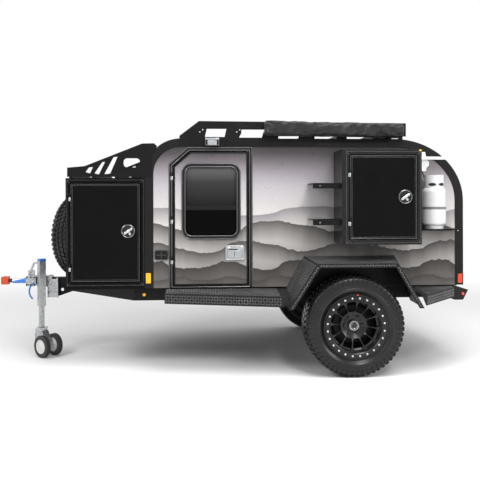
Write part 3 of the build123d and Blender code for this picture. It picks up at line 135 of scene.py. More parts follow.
def background_rays(tree):
    """1 for rays of the camera, of reflections and of transmission, which see the white background; 0 for others."""
    rays = add_node(tree, "LightPath").outputs
    seen = rays["Is Camera Ray"]
    for kind in ("Is Glossy Ray", "Is Transmission Ray"):
        seen = add_node(tree, "Math", {0: seen, 1: rays[kind]}, operation="MAXIMUM").outputs["Value"]
    return seen


floor_material, tree = new_tree("studio_floor")
place = add_node(tree, "TexCoord").outputs["Object"]
distance = add_node(tree, "VectorMath", {0: place}, operation="LENGTH").outputs["Value"]
fade = add_node(
    tree, "MapRange",
    {"Value": distance, "From Min": FADE_START, "From Max": FADE_END},
    interpolation_type="SMOOTHSTEP",
).outputs["Result"]
share = add_node(tree, "Math", {0: fade, 1: background_rays(tree)}, operation="MULTIPLY").outputs["Value"]
matt = add_node(tree, "BsdfDiffuse", {"Color": linear("#f6f6f6")}).outputs["BSDF"]
white = add_node(tree, "Emission", {"Color": linear("#ffffff"), "Strength": 1.0}).outputs["Emission"]
swept = add_node(tree, "MixShader", {0: share, 1: matt, 2: white}).outputs["Shader"]
add_node(tree, "OutputMaterial", {"Surface": swept})

floor_mesh = bpy.data.meshes.new("studio_floor")
half = FLOOR_SIZE / 2
floor_mesh.from_pydata([(-half, -half, 0), (half, -half, 0), (half, half, 0), (-half, half, 0)], [], [(0, 1, 2, 3)])
floor = bpy.data.objects.new("studio_floor", floor_mesh)
floor.data.materials.append(floor_material)
scene.collection.objects.link(floor)

for name, spot, aim, size, watts in LAMPS:
    lamp = bpy.data.lights.new(name, "AREA")
    lamp.size = size
    lamp.energy = watts
    lamp_object = bpy.data.objects.new(name, lamp)
    lamp_object.location = spot
    lamp_object.rotation_euler = (Vector(aim) - Vector(spot)).to_track_quat("-Z", "Y").to_euler()
    scene.collection.objects.link(lamp_object)

# The room is dim at the height of the eye and bright overhead; the background itself is white.
world = bpy.data.worlds.new("studio")
scene.world = world
world.use_nodes = True
tree = world.node_tree
tree.nodes.clear()
seen = background_rays(tree)
direction = add_node(tree, "SeparateXYZ", {"Vector": add_node(tree, "TexCoord").outputs["Generated"]})
room = add_node(tree, "MapRange", {
    "Value": direction.outputs["Z"], "From Max": ZENITH_START, "To Min": HORIZON_LEVEL, "To Max": ZENITH_LEVEL})
level = add_node(tree, "MapRange", {"Value": seen, "To Min": room.outputs["Result"], "To Max": 1.0})
sky = add_node(tree, "Background", {"Color": linear("#ffffff"), "Strength": level.outputs["Result"]})
add_node(tree, "OutputWorld", {"Surface": sky.outputs["Background"]})

# ---------------------------------------------------------------- body panels
# Aluminium composite sheets with a printed satin film: a dusk sky with fine contour lines that lightens downwards,
# then rolling bands of mist, each dark at its crest and paler below. Inside, the sheets have a pale laminate.
BODY_BOTTOM = 0.696
BODY_TOP = 1.942
CABIN_MIDDLE = (0.45, 0.0, 1.25)
LINING = "#c9c6c1"
DRIFT_ACROSS = 0.7          # how far the bands move along the body for each metre across it
CREST_EDGE = 0.004          # depth over which a band's crest sets in
CONTOUR_INK = "#1c1a1b"
CONTOUR_COUNT = 26.0        # lines over the full height of the hill map
CONTOUR_WIDTH = 0.035       # share of the step between two lines
CONTOUR_STRENGTH = 0.16
CONTOUR_FADE = (1.34, 1.48)     # heights between which the lines come in
SKY = (
    # share of the body's height, colour
    (0.00, "#a8a4a5"),
    (0.36, "#c8c5c2"),
    (0.52, "#c4c0be"),
    (0.60, "#b8b4b6"),
    (0.68, "#aca7ac"),
    (0.74, "#9b959b"),
    (0.80, "#817b80"),
    (0.85, "#656064"),
    (0.90, "#464244"),
    (0.95, "#343133"),
    (1.00, "#262325"),
)
BANDS = (
    # height of the crest, swing, length of the swell, phase, colour at the crest, colour at its foot, depth
    (1.290, 0.060, 1.45, 0.4, "#858185", "#c3bfbc", 0.15),
    (1.120, 0.095, 1.15, 2.2, "#4e4a48", "#aca8a5", 0.17),
    (0.975, 0.080, 0.85, 4.1, "#464240", "#9f9b98", 0.15),
    (0.830, 0.065, 0.60, 0.9, "#383533", "#605c59", 0.12),
    (0.745, 0.035, 0.42, 3.0, "#45413f", "#6c6865", 0.08),
)


def film_bump(tree, place, scale, strength, distance=0.0004):
    """Faint waviness of thin sheet and film, as a normal."""
    noise = add_node(tree, "TexNoise", {"Vector": place, "Scale": scale, "Detail": 3.0}).outputs["Fac"]
    return add_node(tree, "Bump", {"Height": noise, "Strength": strength, "Distance": distance}).outputs["Normal"]


def colour_ramp(tree, share, stops):
    """Colour of a share between named stops."""
    made = add_node(tree, "ValToRGB", {"Fac": share})
    ramp = made.color_ramp
    ramp.elements[0].position, ramp.elements[0].color = stops[0][0], linear(stops[0][1])
    ramp.elements[1].position, ramp.elements[1].color = stops[-1][0], linear(stops[-1][1])
    for spot, code in stops[1:-1]:
        ramp.elements.new(spot).color = linear(code)
    return made.outputs["Color"]


def printed_film():
    """Printed vinyl film under a satin laminate: colour by height, with rolling bands laid over each other.
    A band's crest is its height + half its swing times sin(angle) + a drift of noise along the body."""
    material, tree = new_tree("printed_vinyl_film")
    coordinates = add_node(tree, "TexCoord").outputs
    place = coordinates["Object"]
    split = add_node(tree, "SeparateXYZ", {"Vector": place})
    along = add_node(tree, "Math", {
        0: split.outputs["Y"], 1: DRIFT_ACROSS, 2: split.outputs["X"],
    }, operation="MULTIPLY_ADD").outputs["Value"]
    up = split.outputs["Z"]
    share = add_node(tree, "MapRange", {"Value": up, "From Min": BODY_BOTTOM, "From Max": BODY_TOP}).outputs["Result"]
    colour = colour_ramp(tree, share, SKY)
    for crest, swing, swell, phase, top_code, foot_code, depth in BANDS:
        angle = add_node(tree, "Math", {
            0: along, 1: math.tau / swell, 2: phase,
        }, operation="MULTIPLY_ADD").outputs["Value"]
        wave = add_node(tree, "Math", {0: angle}, operation="SINE").outputs["Value"]
        drift = add_node(
            tree, "TexNoise",
            {"W": angle, "Scale": 0.45, "Detail": 4.0, "Roughness": 0.55},
            noise_dimensions="1D",
        ).outputs["Fac"]
        lift = add_node(tree, "Math", {0: wave, 1: swing * 0.5, 2: crest}, operation="MULTIPLY_ADD").outputs["Value"]
        lift = add_node(tree, "Math", {0: drift, 1: swing * 1.6, 2: lift}, operation="MULTIPLY_ADD").outputs["Value"]
        below = add_node(tree, "Math", {0: lift, 1: up}, operation="SUBTRACT").outputs["Value"]
        inside = add_node(tree, "MapRange", {"Value": below, "From Max": CREST_EDGE}).outputs["Result"]
        fall = add_node(tree, "MapRange", {"Value": below, "From Max": depth}).outputs["Result"]
        shade = add_node(tree, "Mix", {0: fall, 6: linear(top_code), 7: linear(foot_code)}, data_type="RGBA").outputs[2]
        colour = add_node(tree, "Mix", {0: inside, 6: colour, 7: shade}, data_type="RGBA").outputs[2]
    # Fine contour lines of a hill map, in the sky alone: dark where the map's height, in steps, is a whole number.
    ground = add_node(tree, "TexNoise", {"Vector": place, "Scale": 1.9, "Detail": 1.5, "Roughness": 0.4}).outputs["Fac"]
    steps = add_node(tree, "Math", {0: ground, 1: CONTOUR_COUNT}, operation="MULTIPLY").outputs["Value"]
    ridge = add_node(tree, "Math", {0: steps, 1: 0.5}, operation="PINGPONG").outputs["Value"]
    line = add_node(tree, "MapRange", {
        "Value": ridge, "From Max": CONTOUR_WIDTH, "To Min": CONTOUR_STRENGTH, "To Max": 0.0}).outputs["Result"]
    height = add_node(tree, "MapRange", {
        "Value": up, "From Min": CONTOUR_FADE[0], "From Max": CONTOUR_FADE[1]}).outputs["Result"]
    line = add_node(tree, "Math", {0: line, 1: height}, operation="MULTIPLY").outputs["Value"]
    colour = add_node(tree, "Mix", {0: line, 6: colour, 7: linear(CONTOUR_INK)}, data_type="RGBA").outputs[2]
    # Faces that look towards the middle of the cabin are lined with a pale laminate instead.
    away = add_node(tree, "VectorMath", {0: place, 1: CABIN_MIDDLE}, operation="SUBTRACT").outputs["Vector"]
    facing = add_node(tree, "VectorMath", {0: away, 1: coordinates["Normal"]}, operation="DOT_PRODUCT").outputs["Value"]
    lined = add_node(tree, "Math", {0: facing, 1: 0.0}, operation="LESS_THAN").outputs["Value"]
    colour = add_node(tree, "Mix", {0: lined, 6: colour, 7: linear(LINING)}, data_type="RGBA").outputs[2]
    surface = add_node(tree, "BsdfPrincipled", {
        "Base Color": colour,
        "Roughness": 0.34,
        "IOR": 1.48,
        "Specular IOR Level": 0.3,
        "Normal": film_bump(tree, place, 9.0, 0.2),
    })
    add_node(tree, "OutputMaterial", {"Surface": surface.outputs["BSDF"]})
    return material


def coated(name, code, roughness, grain, strength, metallic=0.0, coat=0.0, specular=0.5, worn="#3a3a3a", wear=0.06):
    """Powder coat, enamel or moulded plastic: one colour, lighter where it is scuffed, with fine orange peel."""
    material, tree = new_tree(name)
    place = add_node(tree, "TexCoord").outputs["Object"]
    patches = add_node(tree, "TexNoise", {
        "Vector": place, "Scale": 7.0, "Detail": 6.0, "Roughness": 0.6,
    }).outputs["Fac"]
    scuffed = add_node(tree, "MapRange", {
        "Value": patches, "From Min": 0.45, "From Max": 0.8, "To Max": wear,
    }).outputs["Result"]
    colour = add_node(tree, "Mix", {0: scuffed, 6: linear(code), 7: linear(worn)}, data_type="RGBA").outputs[2]
    gloss = add_node(tree, "MapRange", {
        "Value": patches, "To Min": roughness - 0.04, "To Max": roughness + 0.06,
    }).outputs["Result"]
    surface = add_node(tree, "BsdfPrincipled", {
        "Base Color": colour,
        "Roughness": gloss,
        "Metallic": metallic,
        "Specular IOR Level": specular,
        "Coat Weight": coat,
        "Coat Roughness": 0.12,
        "Normal": film_bump(tree, place, grain, strength),
    })
    add_node(tree, "OutputMaterial", {"Surface": surface.outputs["BSDF"]})
    return material


def give(material, *names):
    """Puts one finish on whole built nodes."""
    for name in names:
        nodes[name].data.materials.clear()
        nodes[name].data.materials.append(material)


def soften(width, *names):
    """Rounds a built node's sharp edges by that width, as on folded sheet and milled metal; they catch the light."""
    for name in names:
        weld = nodes[name].modifiers.new("weld", "WELD")
        weld.merge_threshold = 0.00001
        bevel = nodes[name].modifiers.new("edges", "BEVEL")
        bevel.width = width
        bevel.segments = 2
        bevel.limit_method = "ANGLE"
        bevel.angle_limit = math.radians(40)


FILM = printed_film()
give(FILM, "side_wall_left", "side_wall_right", "roof_skin", "rear_hatch", "cabin_door_left", "cabin_door_right")
PLYWOOD = coated("birch_plywood", "#a98a62", 0.5, 30.0, 0.3, worn="#8a6e4c", wear=0.5)
PHENOLIC = coated("black_phenolic_plywood", "#141413", 0.5, 240.0, 0.3, specular=0.2, worn="#2a2928", wear=0.3)
give(PLYWOOD, "bulkhead")
give(PHENOLIC, "floor_panel")

# ---------------------------------------------------------------- edge trim and door frames
# Black anodised extrusions over the body's edges and round the doors, with two rolled beads a frame;
# the glossy beads catch thin lines of light, made brighter by a grey base colour that is a painted highlight.
TRIM_FACE = 0.765
LEAF_FACE = 0.770
AXLE_X = 1.0165
DOOR_FRONT = AXLE_X - 1.462
DOOR_REAR = AXLE_X - 0.841
DOOR_BOTTOM = 0.716
DOOR_TOP = 1.831
DOOR_CHAMFER = (0.140, 0.123)
DOOR_GAP = 0.008
DOOR_FRAME = 0.033
CHAMFER_GROWTH = 0.42       # how far a chamfer's ends move for each metre that the outline grows
FRAME_BEAD_STEP = 0.012     # inner bead of a door frame, from the gap
FRAME_BEAD_PROFILE = (0.0, 0.009, 0.0035)       # start, width and height
EDGE_PROFILE = [(0.0, -0.02), (0.0, 0.0012), (0.011, 0.0022), (0.013, 0.0002), (0.013, -0.02)]
BLACK_TRIM = coated("black_anodised_trim", "#101010", 0.34, 260.0, 0.15, specular=0.22)
# Painted highlight: the beads' base colour is grey, not black, standing in for the thin lines of light on them.
BEAD_PAINTED_HIGHLIGHT = coated("black_bead_painted_highlight", "#3e3e3e", 0.16, 200.0, 0.06, coat=0.8, specular=1.0)


def grid(rows, columns, wrap_rows=False, wrap_columns=False):
    """Quads of a grid of points numbered row by row, closed on itself either way."""
    row, column = np.meshgrid(
        np.arange(rows if wrap_rows else rows - 1), np.arange(columns if wrap_columns else columns - 1), indexing="ij")
    row_on, column_on = (row + 1) % rows, (column + 1) % columns
    return np.stack([
        row * columns + column, row * columns + column_on,
        row_on * columns + column_on, row_on * columns + column], axis=-1).reshape(-1, 4)


def make_piece(name, body, parts, material, sharp=35.0):
    """New piece from (points, quads) pairs laid end to end; normals turn outwards, edges past the angle stay sharp."""
    starts = np.cumsum([0] + [len(points) for points, quads in parts])
    points = np.concatenate([points for points, quads in parts])
    quads = np.concatenate([quads + start for (_, quads), start in zip(parts, starts)])
    mesh = bpy.data.meshes.new(name)
    mesh.from_pydata(points.tolist(), [], quads.tolist())
    work = bmesh.new()
    work.from_mesh(mesh)
    bmesh.ops.remove_doubles(work, verts=work.verts, dist=0.000001)
    bmesh.ops.recalc_face_normals(work, faces=work.faces)
    work.to_mesh(mesh)
    work.free()
    mesh.shade_smooth()
    mesh.set_sharp_from_angle(angle=math.radians(sharp))
    mesh.materials.append(material)
    piece = bpy.data.objects.new(name, mesh)
    scene.collection.objects.link(piece)
    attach(piece, body)
    return piece


def moulding(outline, section, place):
    """A closed section carried round a flat anticlockwise outline with mitred corners: a section point (d, h) stands
    d inwards along each corner's mitre, (n1 + n2) / (1 + n1 . n2), and h off the plane; place sets it in the frame."""
    outline = np.asarray(outline, float)
    ahead = np.roll(outline, -1, 0) - outline
    ahead /= np.linalg.norm(ahead, axis=1, keepdims=True)
    normal = np.stack([-ahead[:, 1], ahead[:, 0]], 1)
    before = np.roll(normal, 1, 0)
    mitre = (normal + before) / (1 + (normal * before).sum(1, keepdims=True))
    section = np.asarray(section, float)
    flat = outline[:, None] + mitre[:, None] * section[None, :, :1]
    high = np.broadcast_to(section[None, :, 1], flat.shape[:2])
    return place(flat[..., 0].ravel(), flat[..., 1].ravel(), high.ravel()), grid(len(outline), len(section), True, True)


def half_round(start, width, height, steps=6):
    """Half-round bead: h = height sin(pi s) over its width, with a flat back just under the surface."""
    share = np.linspace(0, 1, steps)
    crown = np.stack([start + width * share, height * np.sin(math.pi * share)], 1)
    return np.concatenate([crown, [(start + width, -0.0008), (start, -0.0008)]])


def on_side(side, face):
    """Places (x, z, h) on an upright face at that distance from the middle: y = side (face + h)."""
    return lambda x, z, h: np.stack([x, side * (face + h), z], 1)


def rounded(x_range, z_range, radius, steps=9):
    """Rounded rectangle, anticlockwise: a quarter circle about each inset corner."""
    turn = np.linspace(0, math.pi / 2, steps)
    corners = ((1, 1), (0, 1), (0, 0), (1, 0))
    return np.concatenate([
        np.stack([
            x_range[i] + (radius if i == 0 else -radius) + radius * np.cos(turn + quarter * math.pi / 2),
            z_range[j] + (radius if j == 0 else -radius) + radius * np.sin(turn + quarter * math.pi / 2)], 1)
        for quarter, (i, j) in enumerate(corners)])


def door_outline(grow):
    """Five corners of the cabin door's leaf, anticlockwise, grown all round."""
    front, rear = DOOR_FRONT - grow, DOOR_REAR + grow
    low, top = DOOR_BOTTOM - grow, DOOR_TOP + grow
    shift = grow * CHAMFER_GROWTH
    return [
        (front, low), (rear, low), (rear, top),
        (front + DOOR_CHAMFER[0] + shift, top), (front, top - DOOR_CHAMFER[1] - shift)]


for side, name in ((-1, "left"), (1, "right")):
    frame_place = on_side(side, TRIM_FACE)
    make_piece(f"door_frame_beads_{name}", "trailer", [
        moulding(door_outline(DOOR_GAP + step), half_round(*FRAME_BEAD_PROFILE), frame_place)
        for step in (DOOR_FRAME, FRAME_BEAD_STEP)
    ], BEAD_PAINTED_HIGHLIGHT)
    make_piece(f"door_edge_{name}", f"cabin_door_{name}", [
        moulding(door_outline(0), EDGE_PROFILE, on_side(side, LEAF_FACE)),
    ], BLACK_TRIM)
give(BLACK_TRIM, "body_trim_left", "body_trim_right")
soften(0.0012, "body_trim_left", "body_trim_right")

# ---------------------------------------------------------------- windows
# Acrylic windows in a rounded frame of black nylon with two polished beads, grey as a painted highlight. The smoked
# pane, whose tint carries a painted reflection, swells outwards a little, and the built lock bar crosses it.
WINDOW_X = (DOOR_FRONT + 0.066, DOOR_REAR - 0.060)
WINDOW_Z = (1.098, 1.737)
WINDOW_CORNER = 0.084
WINDOW_BORDER = 0.035
WINDOW_FACE = LEAF_FACE + 0.008
PANE_FACE = 0.7585
PANE_CROWN = 0.010
# Painted reflection: the tint's colour by height, black below and paler towards the top, stands in for the mirrored
# sky.
SMOKED_TINT_PAINTED_REFLECTION = ((0.0, "#050505"), (0.40, "#060606"), (0.44, "#1c1c1c"), (0.75, "#343434"), (1.0, "#606060"))
WINDOW_BLACK = coated("moulded_black_nylon", "#0e0e0e", 0.36, 150.0, 0.12, specular=0.2)


def smoked_acrylic():
    """Tinted acrylic in front of a dark cabin; its colour carries a painted reflection, nearly black below and paler
    towards the top as the sky mirrored in the pane would be, over the shader's own gloss."""
    material, tree = new_tree("smoked_acrylic")
    place = add_node(tree, "TexCoord").outputs["Object"]
    up = add_node(tree, "SeparateXYZ", {"Vector": place}).outputs["Z"]
    share = add_node(tree, "MapRange", {
        "Value": up, "From Min": WINDOW_Z[0], "From Max": WINDOW_Z[1],
    }).outputs["Result"]
    colour = colour_ramp(tree, share, SMOKED_TINT_PAINTED_REFLECTION)
    surface = add_node(tree, "BsdfPrincipled", {
        "Base Color": colour, "Roughness": 0.1, "IOR": 1.49, "Specular IOR Level": 0.04,
        "Normal": film_bump(tree, place, 5.0, 0.25, 0.001),
    })
    add_node(tree, "OutputMaterial", {"Surface": surface.outputs["BSDF"]})
    return material


def crowned_panel(outline, rings, crown, place):
    """A panel that swells outwards: ring k of the outline is drawn in to 1 - k / rings about its middle,
    at height crown (1 - (1 - k / rings)^4)."""
    outline = np.asarray(outline, float)
    middle = (outline.min(0) + outline.max(0)) / 2
    size = np.linspace(1, 0.001, rings + 1)
    flat = middle + size[:, None, None] * (outline - middle)
    high = np.repeat(crown * (1 - size ** 4), len(outline))
    return place(flat[..., 0].ravel(), flat[..., 1].ravel(), high), grid(rings + 1, len(outline), wrap_columns=True)


def drawn_in(ends, front, rear=None):
    """A range made shorter at both its ends, by the same length unless a second one is given."""
    return ends[0] + front, ends[1] - (front if rear is None else rear)


ACRYLIC = smoked_acrylic()
give(ACRYLIC, "window_glass_left", "window_glass_right")
give(WINDOW_BLACK, "window_frame_left", "window_frame_right")
soften(0.0020, "window_frame_left", "window_frame_right")
for side, name in ((-1, "left"), (1, "right")):
    frame_outline = rounded(WINDOW_X, WINDOW_Z, WINDOW_CORNER)
    pane = rounded(drawn_in(WINDOW_X, WINDOW_BORDER), drawn_in(WINDOW_Z, WINDOW_BORDER), WINDOW_CORNER - WINDOW_BORDER)
    make_piece(f"window_pane_{name}", f"cabin_door_{name}", [
        crowned_panel(pane, 10, PANE_CROWN, on_side(side, PANE_FACE)),
    ], ACRYLIC)
    make_piece(f"window_bead_{name}", f"cabin_door_{name}", [
        moulding(frame_outline, half_round(*profile), on_side(side, WINDOW_FACE))
        for profile in ((0.0015, 0.006, 0.002), (WINDOW_BORDER - 0.009, 0.007, 0.0025))
    ], BEAD_PAINTED_HIGHLIGHT)

# ---------------------------------------------------------------- tongue box and side cabinet
# Folded aluminium boxes in black powder coat, gloss on the tongue box and both doors and semi-gloss on the cabinet.
# Each door is a tray with folded edges in a frame whose corners are mitred.
BOX_DOOR_X = (AXLE_X - 2.309, AXLE_X - 1.743)
BOX_DOOR_Z = (0.754, 1.565)
BOX_FACE = 0.767
CABINET_DOOR_X = (AXLE_X - 0.041, AXLE_X + 0.499)
CABINET_DOOR_Z = (1.113, 1.782)
CABINET_FACE = 1.087
DOOR_PROUD = 0.005
FRAME_BEAD = 0.034
MITRE_HALF = 0.0008         # half the width of a mitre line
MITRE_START = 0.007         # from the door's corner
MITRE_HEIGHTS = [(1, -0.0005), (1, 0.0008), (0.001, 0.0008)]
GLOSS_BLACK = coated("gloss_black_powder_coat", "#080808", 0.2, 55.0, 0.2, specular=0.09, worn="#1c1c1c", wear=0.1)
SATIN_BLACK = coated("satin_black_powder_coat", "#101010", 0.36, 190.0, 0.2, specular=0.14, worn="#2a2a2a", wear=0.15)
SEMI_GLOSS = coated(
    "semi_gloss_black_powder_coat", "#101010", 0.22, 120.0, 0.12, specular=0.3, worn="#262626", wear=0.1)
BARE_METAL = coated("cast_aluminium", "#b9bbbd", 0.34, 120.0, 0.2, metallic=1.0, worn="#7c7e80", wear=0.5)
CHROME = coated("chrome_plate", "#d8dadc", 0.08, 60.0, 0.05, metallic=1.0, worn="#a8aaac", wear=0.2)
# Painted reflection and painted shade: chrome coloured dark, on the latch bowls as chrome mirroring a dark room and on
# the dust cap's rings and middle as shade in its grooves.
CHROME_PAINTED_SHADE_AND_REFLECTION = coated("chrome_painted_shade_and_reflection", "#38393a", 0.14, 60.0, 0.05, metallic=1.0, worn="#4a4b4c", wear=0.2)


def ring_of(x_range, z_range):
    """Plain rectangle, anticlockwise."""
    return [(x_range[0], z_range[0]), (x_range[1], z_range[0]), (x_range[1], z_range[1]), (x_range[0], z_range[1])]


def bar(outline, heights, place):
    """Closed bar with a flat outline, as rings of (share of its size, height) from its foot to its crown."""
    outline, heights = np.asarray(outline, float), np.asarray(heights, float)
    middle = (outline.min(0) + outline.max(0)) / 2
    flat = middle + heights[:, 0, None, None] * (outline - middle)
    high = np.repeat(heights[:, 1], len(outline))
    return place(flat[..., 0].ravel(), flat[..., 1].ravel(), high), grid(len(heights), len(outline), wrap_columns=True)


def box_moulds(name, body, x_range, z_range, side, face):
    """Folded edges of a box: a bead round the door and a fine rib inside it, a bead round the frame outside them,
    and a mitre line across each corner of the frame."""
    door, frame = on_side(side, face), on_side(side, face - DOOR_PROUD)
    corners, middle = np.array(ring_of(x_range, z_range)), np.array((sum(x_range) / 2, sum(z_range) / 2))
    mitres = []
    for corner, aim in zip(corners, np.sign(corners - middle)):
        across = np.array((-aim[1], aim[0])) * MITRE_HALF
        start, end = corner + aim * MITRE_START, corner + aim * FRAME_BEAD
        mitres.append(bar([start - across, end - across, end + across, start + across], MITRE_HEIGHTS, frame))
    # The beads and mitre lines take the bead finish, whose grey is a painted highlight.
    make_piece(f"{name}_door_bead", body, [
        moulding(corners, half_round(0.0, 0.0050, 0.0026), door),
        moulding(corners, half_round(0.013, 0.0016, 0.0005), door),
    ], BEAD_PAINTED_HIGHLIGHT)
    make_piece(f"{name}_frame_bead", "trailer", [
        moulding(corners, half_round(-FRAME_BEAD, 0.0040, 0.0022), frame), *mitres,
    ], BEAD_PAINTED_HIGHLIGHT)


give(GLOSS_BLACK, "tongue_box", "box_door", "cabinet_door")
give(SEMI_GLOSS, "side_cabinet")
soften(0.0025, "tongue_box", "box_door", "side_cabinet", "cabinet_door")
box_moulds("tongue_box", "box_door", BOX_DOOR_X, BOX_DOOR_Z, -1, BOX_FACE)
box_moulds("cabinet", "cabinet_door", CABINET_DOOR_X, CABINET_DOOR_Z, -1, CABINET_FACE)

# ---------------------------------------------------------------- turn latches, hinges and paddle handles
# Folding chrome T-handles in a dished chrome bowl painted dark as a painted reflection, with a black bezel painted grey
# as a painted highlight, pressed-steel hinges, and a flush paddle handle with a lock, held by small domed screws,
# on each cabin door.
LATCH_IN = 0.096            # from the door's rear edge
LATCHES = (
    # name, body, x, z, face
    ("box_latch", "box_door", BOX_DOOR_X[1] - LATCH_IN, 1.1715, BOX_FACE),
    ("cabinet_latch", "cabinet_door", CABINET_DOOR_X[1] - LATCH_IN, 1.450, CABINET_FACE),
)
LATCH_TURN = 35             # degrees
LATCH_BEZEL = [(0.0475, 0.002), (0.0475, 0.0112), (0.051, 0.0135), (0.056, 0.0105), (0.0578, 0.004), (0.0578, 0.0)]
LATCH_BOWL = [(0.0472, 0.0105), (0.044, 0.0065), (0.030, 0.0035), (0.014, 0.0030), (0.0, 0.0030)]
LATCH_HANDLE = (
    # outline of the bar, and its rings of size and height
    (rounded((-0.042, 0.042), (-0.0095, 0.0095), 0.009, 5),
     [(1, 0.006), (1, 0.0135), (0.93, 0.0155), (0.80, 0.0165), (0.001, 0.0168)]),
    (rounded((-0.0085, 0.0085), (-0.036, 0.0), 0.007, 5),
     [(1, 0.004), (1, 0.0115), (0.85, 0.0132), (0.001, 0.0136)]),
)
PADDLE_X = (-0.0135, 0.1425)
PADDLE_Z = (0.924, 1.048)
PADDLE_FACE = 0.782
PADDLE_ROUND = 0.014
PADDLE_PLATE = [(1.0, -0.002), (1.0, 0.0004), (0.985, 0.0012), (0.001, 0.0012)]
PADDLE_LEAF = [(1.0, -0.002), (1.0, 0.002), (0.97, 0.0042), (0.90, 0.005), (0.001, 0.0056)]
PADDLE_LOCK = [(0.011, -0.001), (0.011, 0.0028), (0.0095, 0.0036), (0.0075, 0.0030), (0.0, 0.0030)]
PADDLE_SCREW_IN = 0.011
ZINC = coated("zinc_plated_steel", "#c4c6c8", 0.3, 90.0, 0.1, metallic=1.0, worn="#8c8e90", wear=0.4)


def lathe(profile, origin, u, v, steps):
    """Profile of (radius, height) turned about an axis: origin + r (cos t u + sin t v) + h (u x v)."""
    profile, u, v = (np.asarray(each, float) for each in (profile, u, v))
    turn = np.linspace(0, math.tau, steps, endpoint=False)[:, None]
    ring = np.cos(turn) * u + np.sin(turn) * v
    points = np.asarray(origin) + profile[:, 0, None, None] * ring + profile[:, 1, None, None] * np.cross(u, v)
    return points.reshape(-1, 3), grid(len(profile), steps, wrap_columns=True)


def heads(centres, out, radius, height, sides=8):
    """Low domed heads, one at each centre, on an axis out: rings of (1, -0.2), (1, 0.6), (0.75, 0.95), (0, 1)."""
    centres = np.asarray(centres, float).reshape(-1, 1, 3)
    out = np.asarray(out, float)
    u = np.cross(out, (0.0, 0.0, 1.0) if abs(out[2]) < 0.9 else (0.0, 1.0, 0.0))
    u /= np.linalg.norm(u)
    profile = np.array([(1, -0.2), (1, 0.6), (0.75, 0.95), (0, 1)]) * (radius, height)
    shape, quads = lathe(profile, (0, 0, 0), u, np.cross(out, u), sides)
    points = (centres + shape).reshape(-1, 3)
    return points, (quads + len(shape) * np.arange(len(centres))[:, None, None]).reshape(-1, 4)


def turned_outline(outline, spot, degrees):
    """Flat outline turned about the origin and moved to a spot."""
    c, s = math.cos(math.radians(degrees)), math.sin(math.radians(degrees))
    return np.asarray(outline, float) @ np.array([(c, s), (-s, c)]) + spot


FITTINGS = ("box_door_fittings", "cabinet_door_fittings", "cabin_door_fittings_left", "cabin_door_fittings_right")
give(SATIN_BLACK, *FITTINGS)
give(ZINC, "hinge_posts")
soften(0.0010, *FITTINGS, "hinge_posts")
for name, body, x, z, face in LATCHES:
    for label, profile, finish in (("bezel", LATCH_BEZEL, BEAD_PAINTED_HIGHLIGHT), ("bowl", LATCH_BOWL, CHROME_PAINTED_SHADE_AND_REFLECTION)):
        make_piece(f"{name}_{label}", body, [lathe(profile, (x, -face, z), (1, 0, 0), (0, 0, 1), 48)], finish)
    make_piece(f"{name}_handle", body, [
        *(bar(turned_outline(outline, (x, z), LATCH_TURN), heights, on_side(-1, face))
          for outline, heights in LATCH_HANDLE),
        heads([(x, -face - 0.0168, z)], (0, -1, 0), 0.0062, 0.0015, 12),
    ], CHROME)
paddle_plate = rounded(PADDLE_X, PADDLE_Z, PADDLE_ROUND)
paddle = rounded(drawn_in(PADDLE_X, 0.016), drawn_in(PADDLE_Z, 0.020, 0.038), 0.012)
paddle_slot = ring_of((0.060, 0.064), drawn_in(PADDLE_Z, 0.026, 0.044))
screw_places = [(x, z) for x in drawn_in(PADDLE_X, PADDLE_SCREW_IN) for z in drawn_in(PADDLE_Z, PADDLE_SCREW_IN)]
for side, name in ((-1, "left"), (1, "right")):
    door, place = f"cabin_door_{name}", on_side(side, PADDLE_FACE)
    make_piece(f"paddle_plate_{name}", door, [bar(paddle_plate, PADDLE_PLATE, place)], BARE_METAL)
    make_piece(f"paddle_{name}", door, [
        bar(paddle, PADDLE_LEAF, place),
        moulding(paddle_plate, half_round(0.001, 0.006, 0.0018), place),
    ], BARE_METAL)
    make_piece(f"paddle_gap_{name}", door, [
        moulding(paddle, half_round(-0.0030, 0.0030, 0.0016), place),
        bar(paddle_slot, [(1, 0.003), (1, 0.0060), (0.001, 0.0060)], place),
    ], WINDOW_BLACK)
    make_piece(f"paddle_lock_{name}", door, [
        lathe(PADDLE_LOCK, (PADDLE_X[0] + 0.03, side * PADDLE_FACE, PADDLE_Z[1] - 0.020),
              (1, 0, 0), (0, 0, -side), 24),
        heads([(x, side * PADDLE_FACE, z) for x, z in screw_places], (0, side, 0), 0.0038, 0.0016),
    ], CHROME)

# ---------------------------------------------------------------- racks
# Laser-cut side plates with tube bars between them, in satin black. Each bar is bolted through the plates, and the
# bolts' zinc-plated heads stand on the outer faces.
RACK_X = (-0.3955, 1.4265)
RACK_BARS_X = np.linspace(*drawn_in(RACK_X, 0.182, 0.090), 6)
RACK_BOLTS = ((-0.012, 1.998), (0.013, 2.016))      # each bar's two bolts: step along the rack, and height
PLATE_FACE = 0.770

give(SATIN_BLACK, "roof_rack", "front_rack")
soften(0.0012, "roof_rack", "front_rack")
for side, name in ((-1, "left"), (1, "right")):
    make_piece(f"rack_bolts_{name}", "trailer", [
        heads([(x + step, side * PLATE_FACE, z) for x in RACK_BARS_X for step, z in RACK_BOLTS],
              (0, side, 0), 0.0065, 0.004),
    ], ZINC)

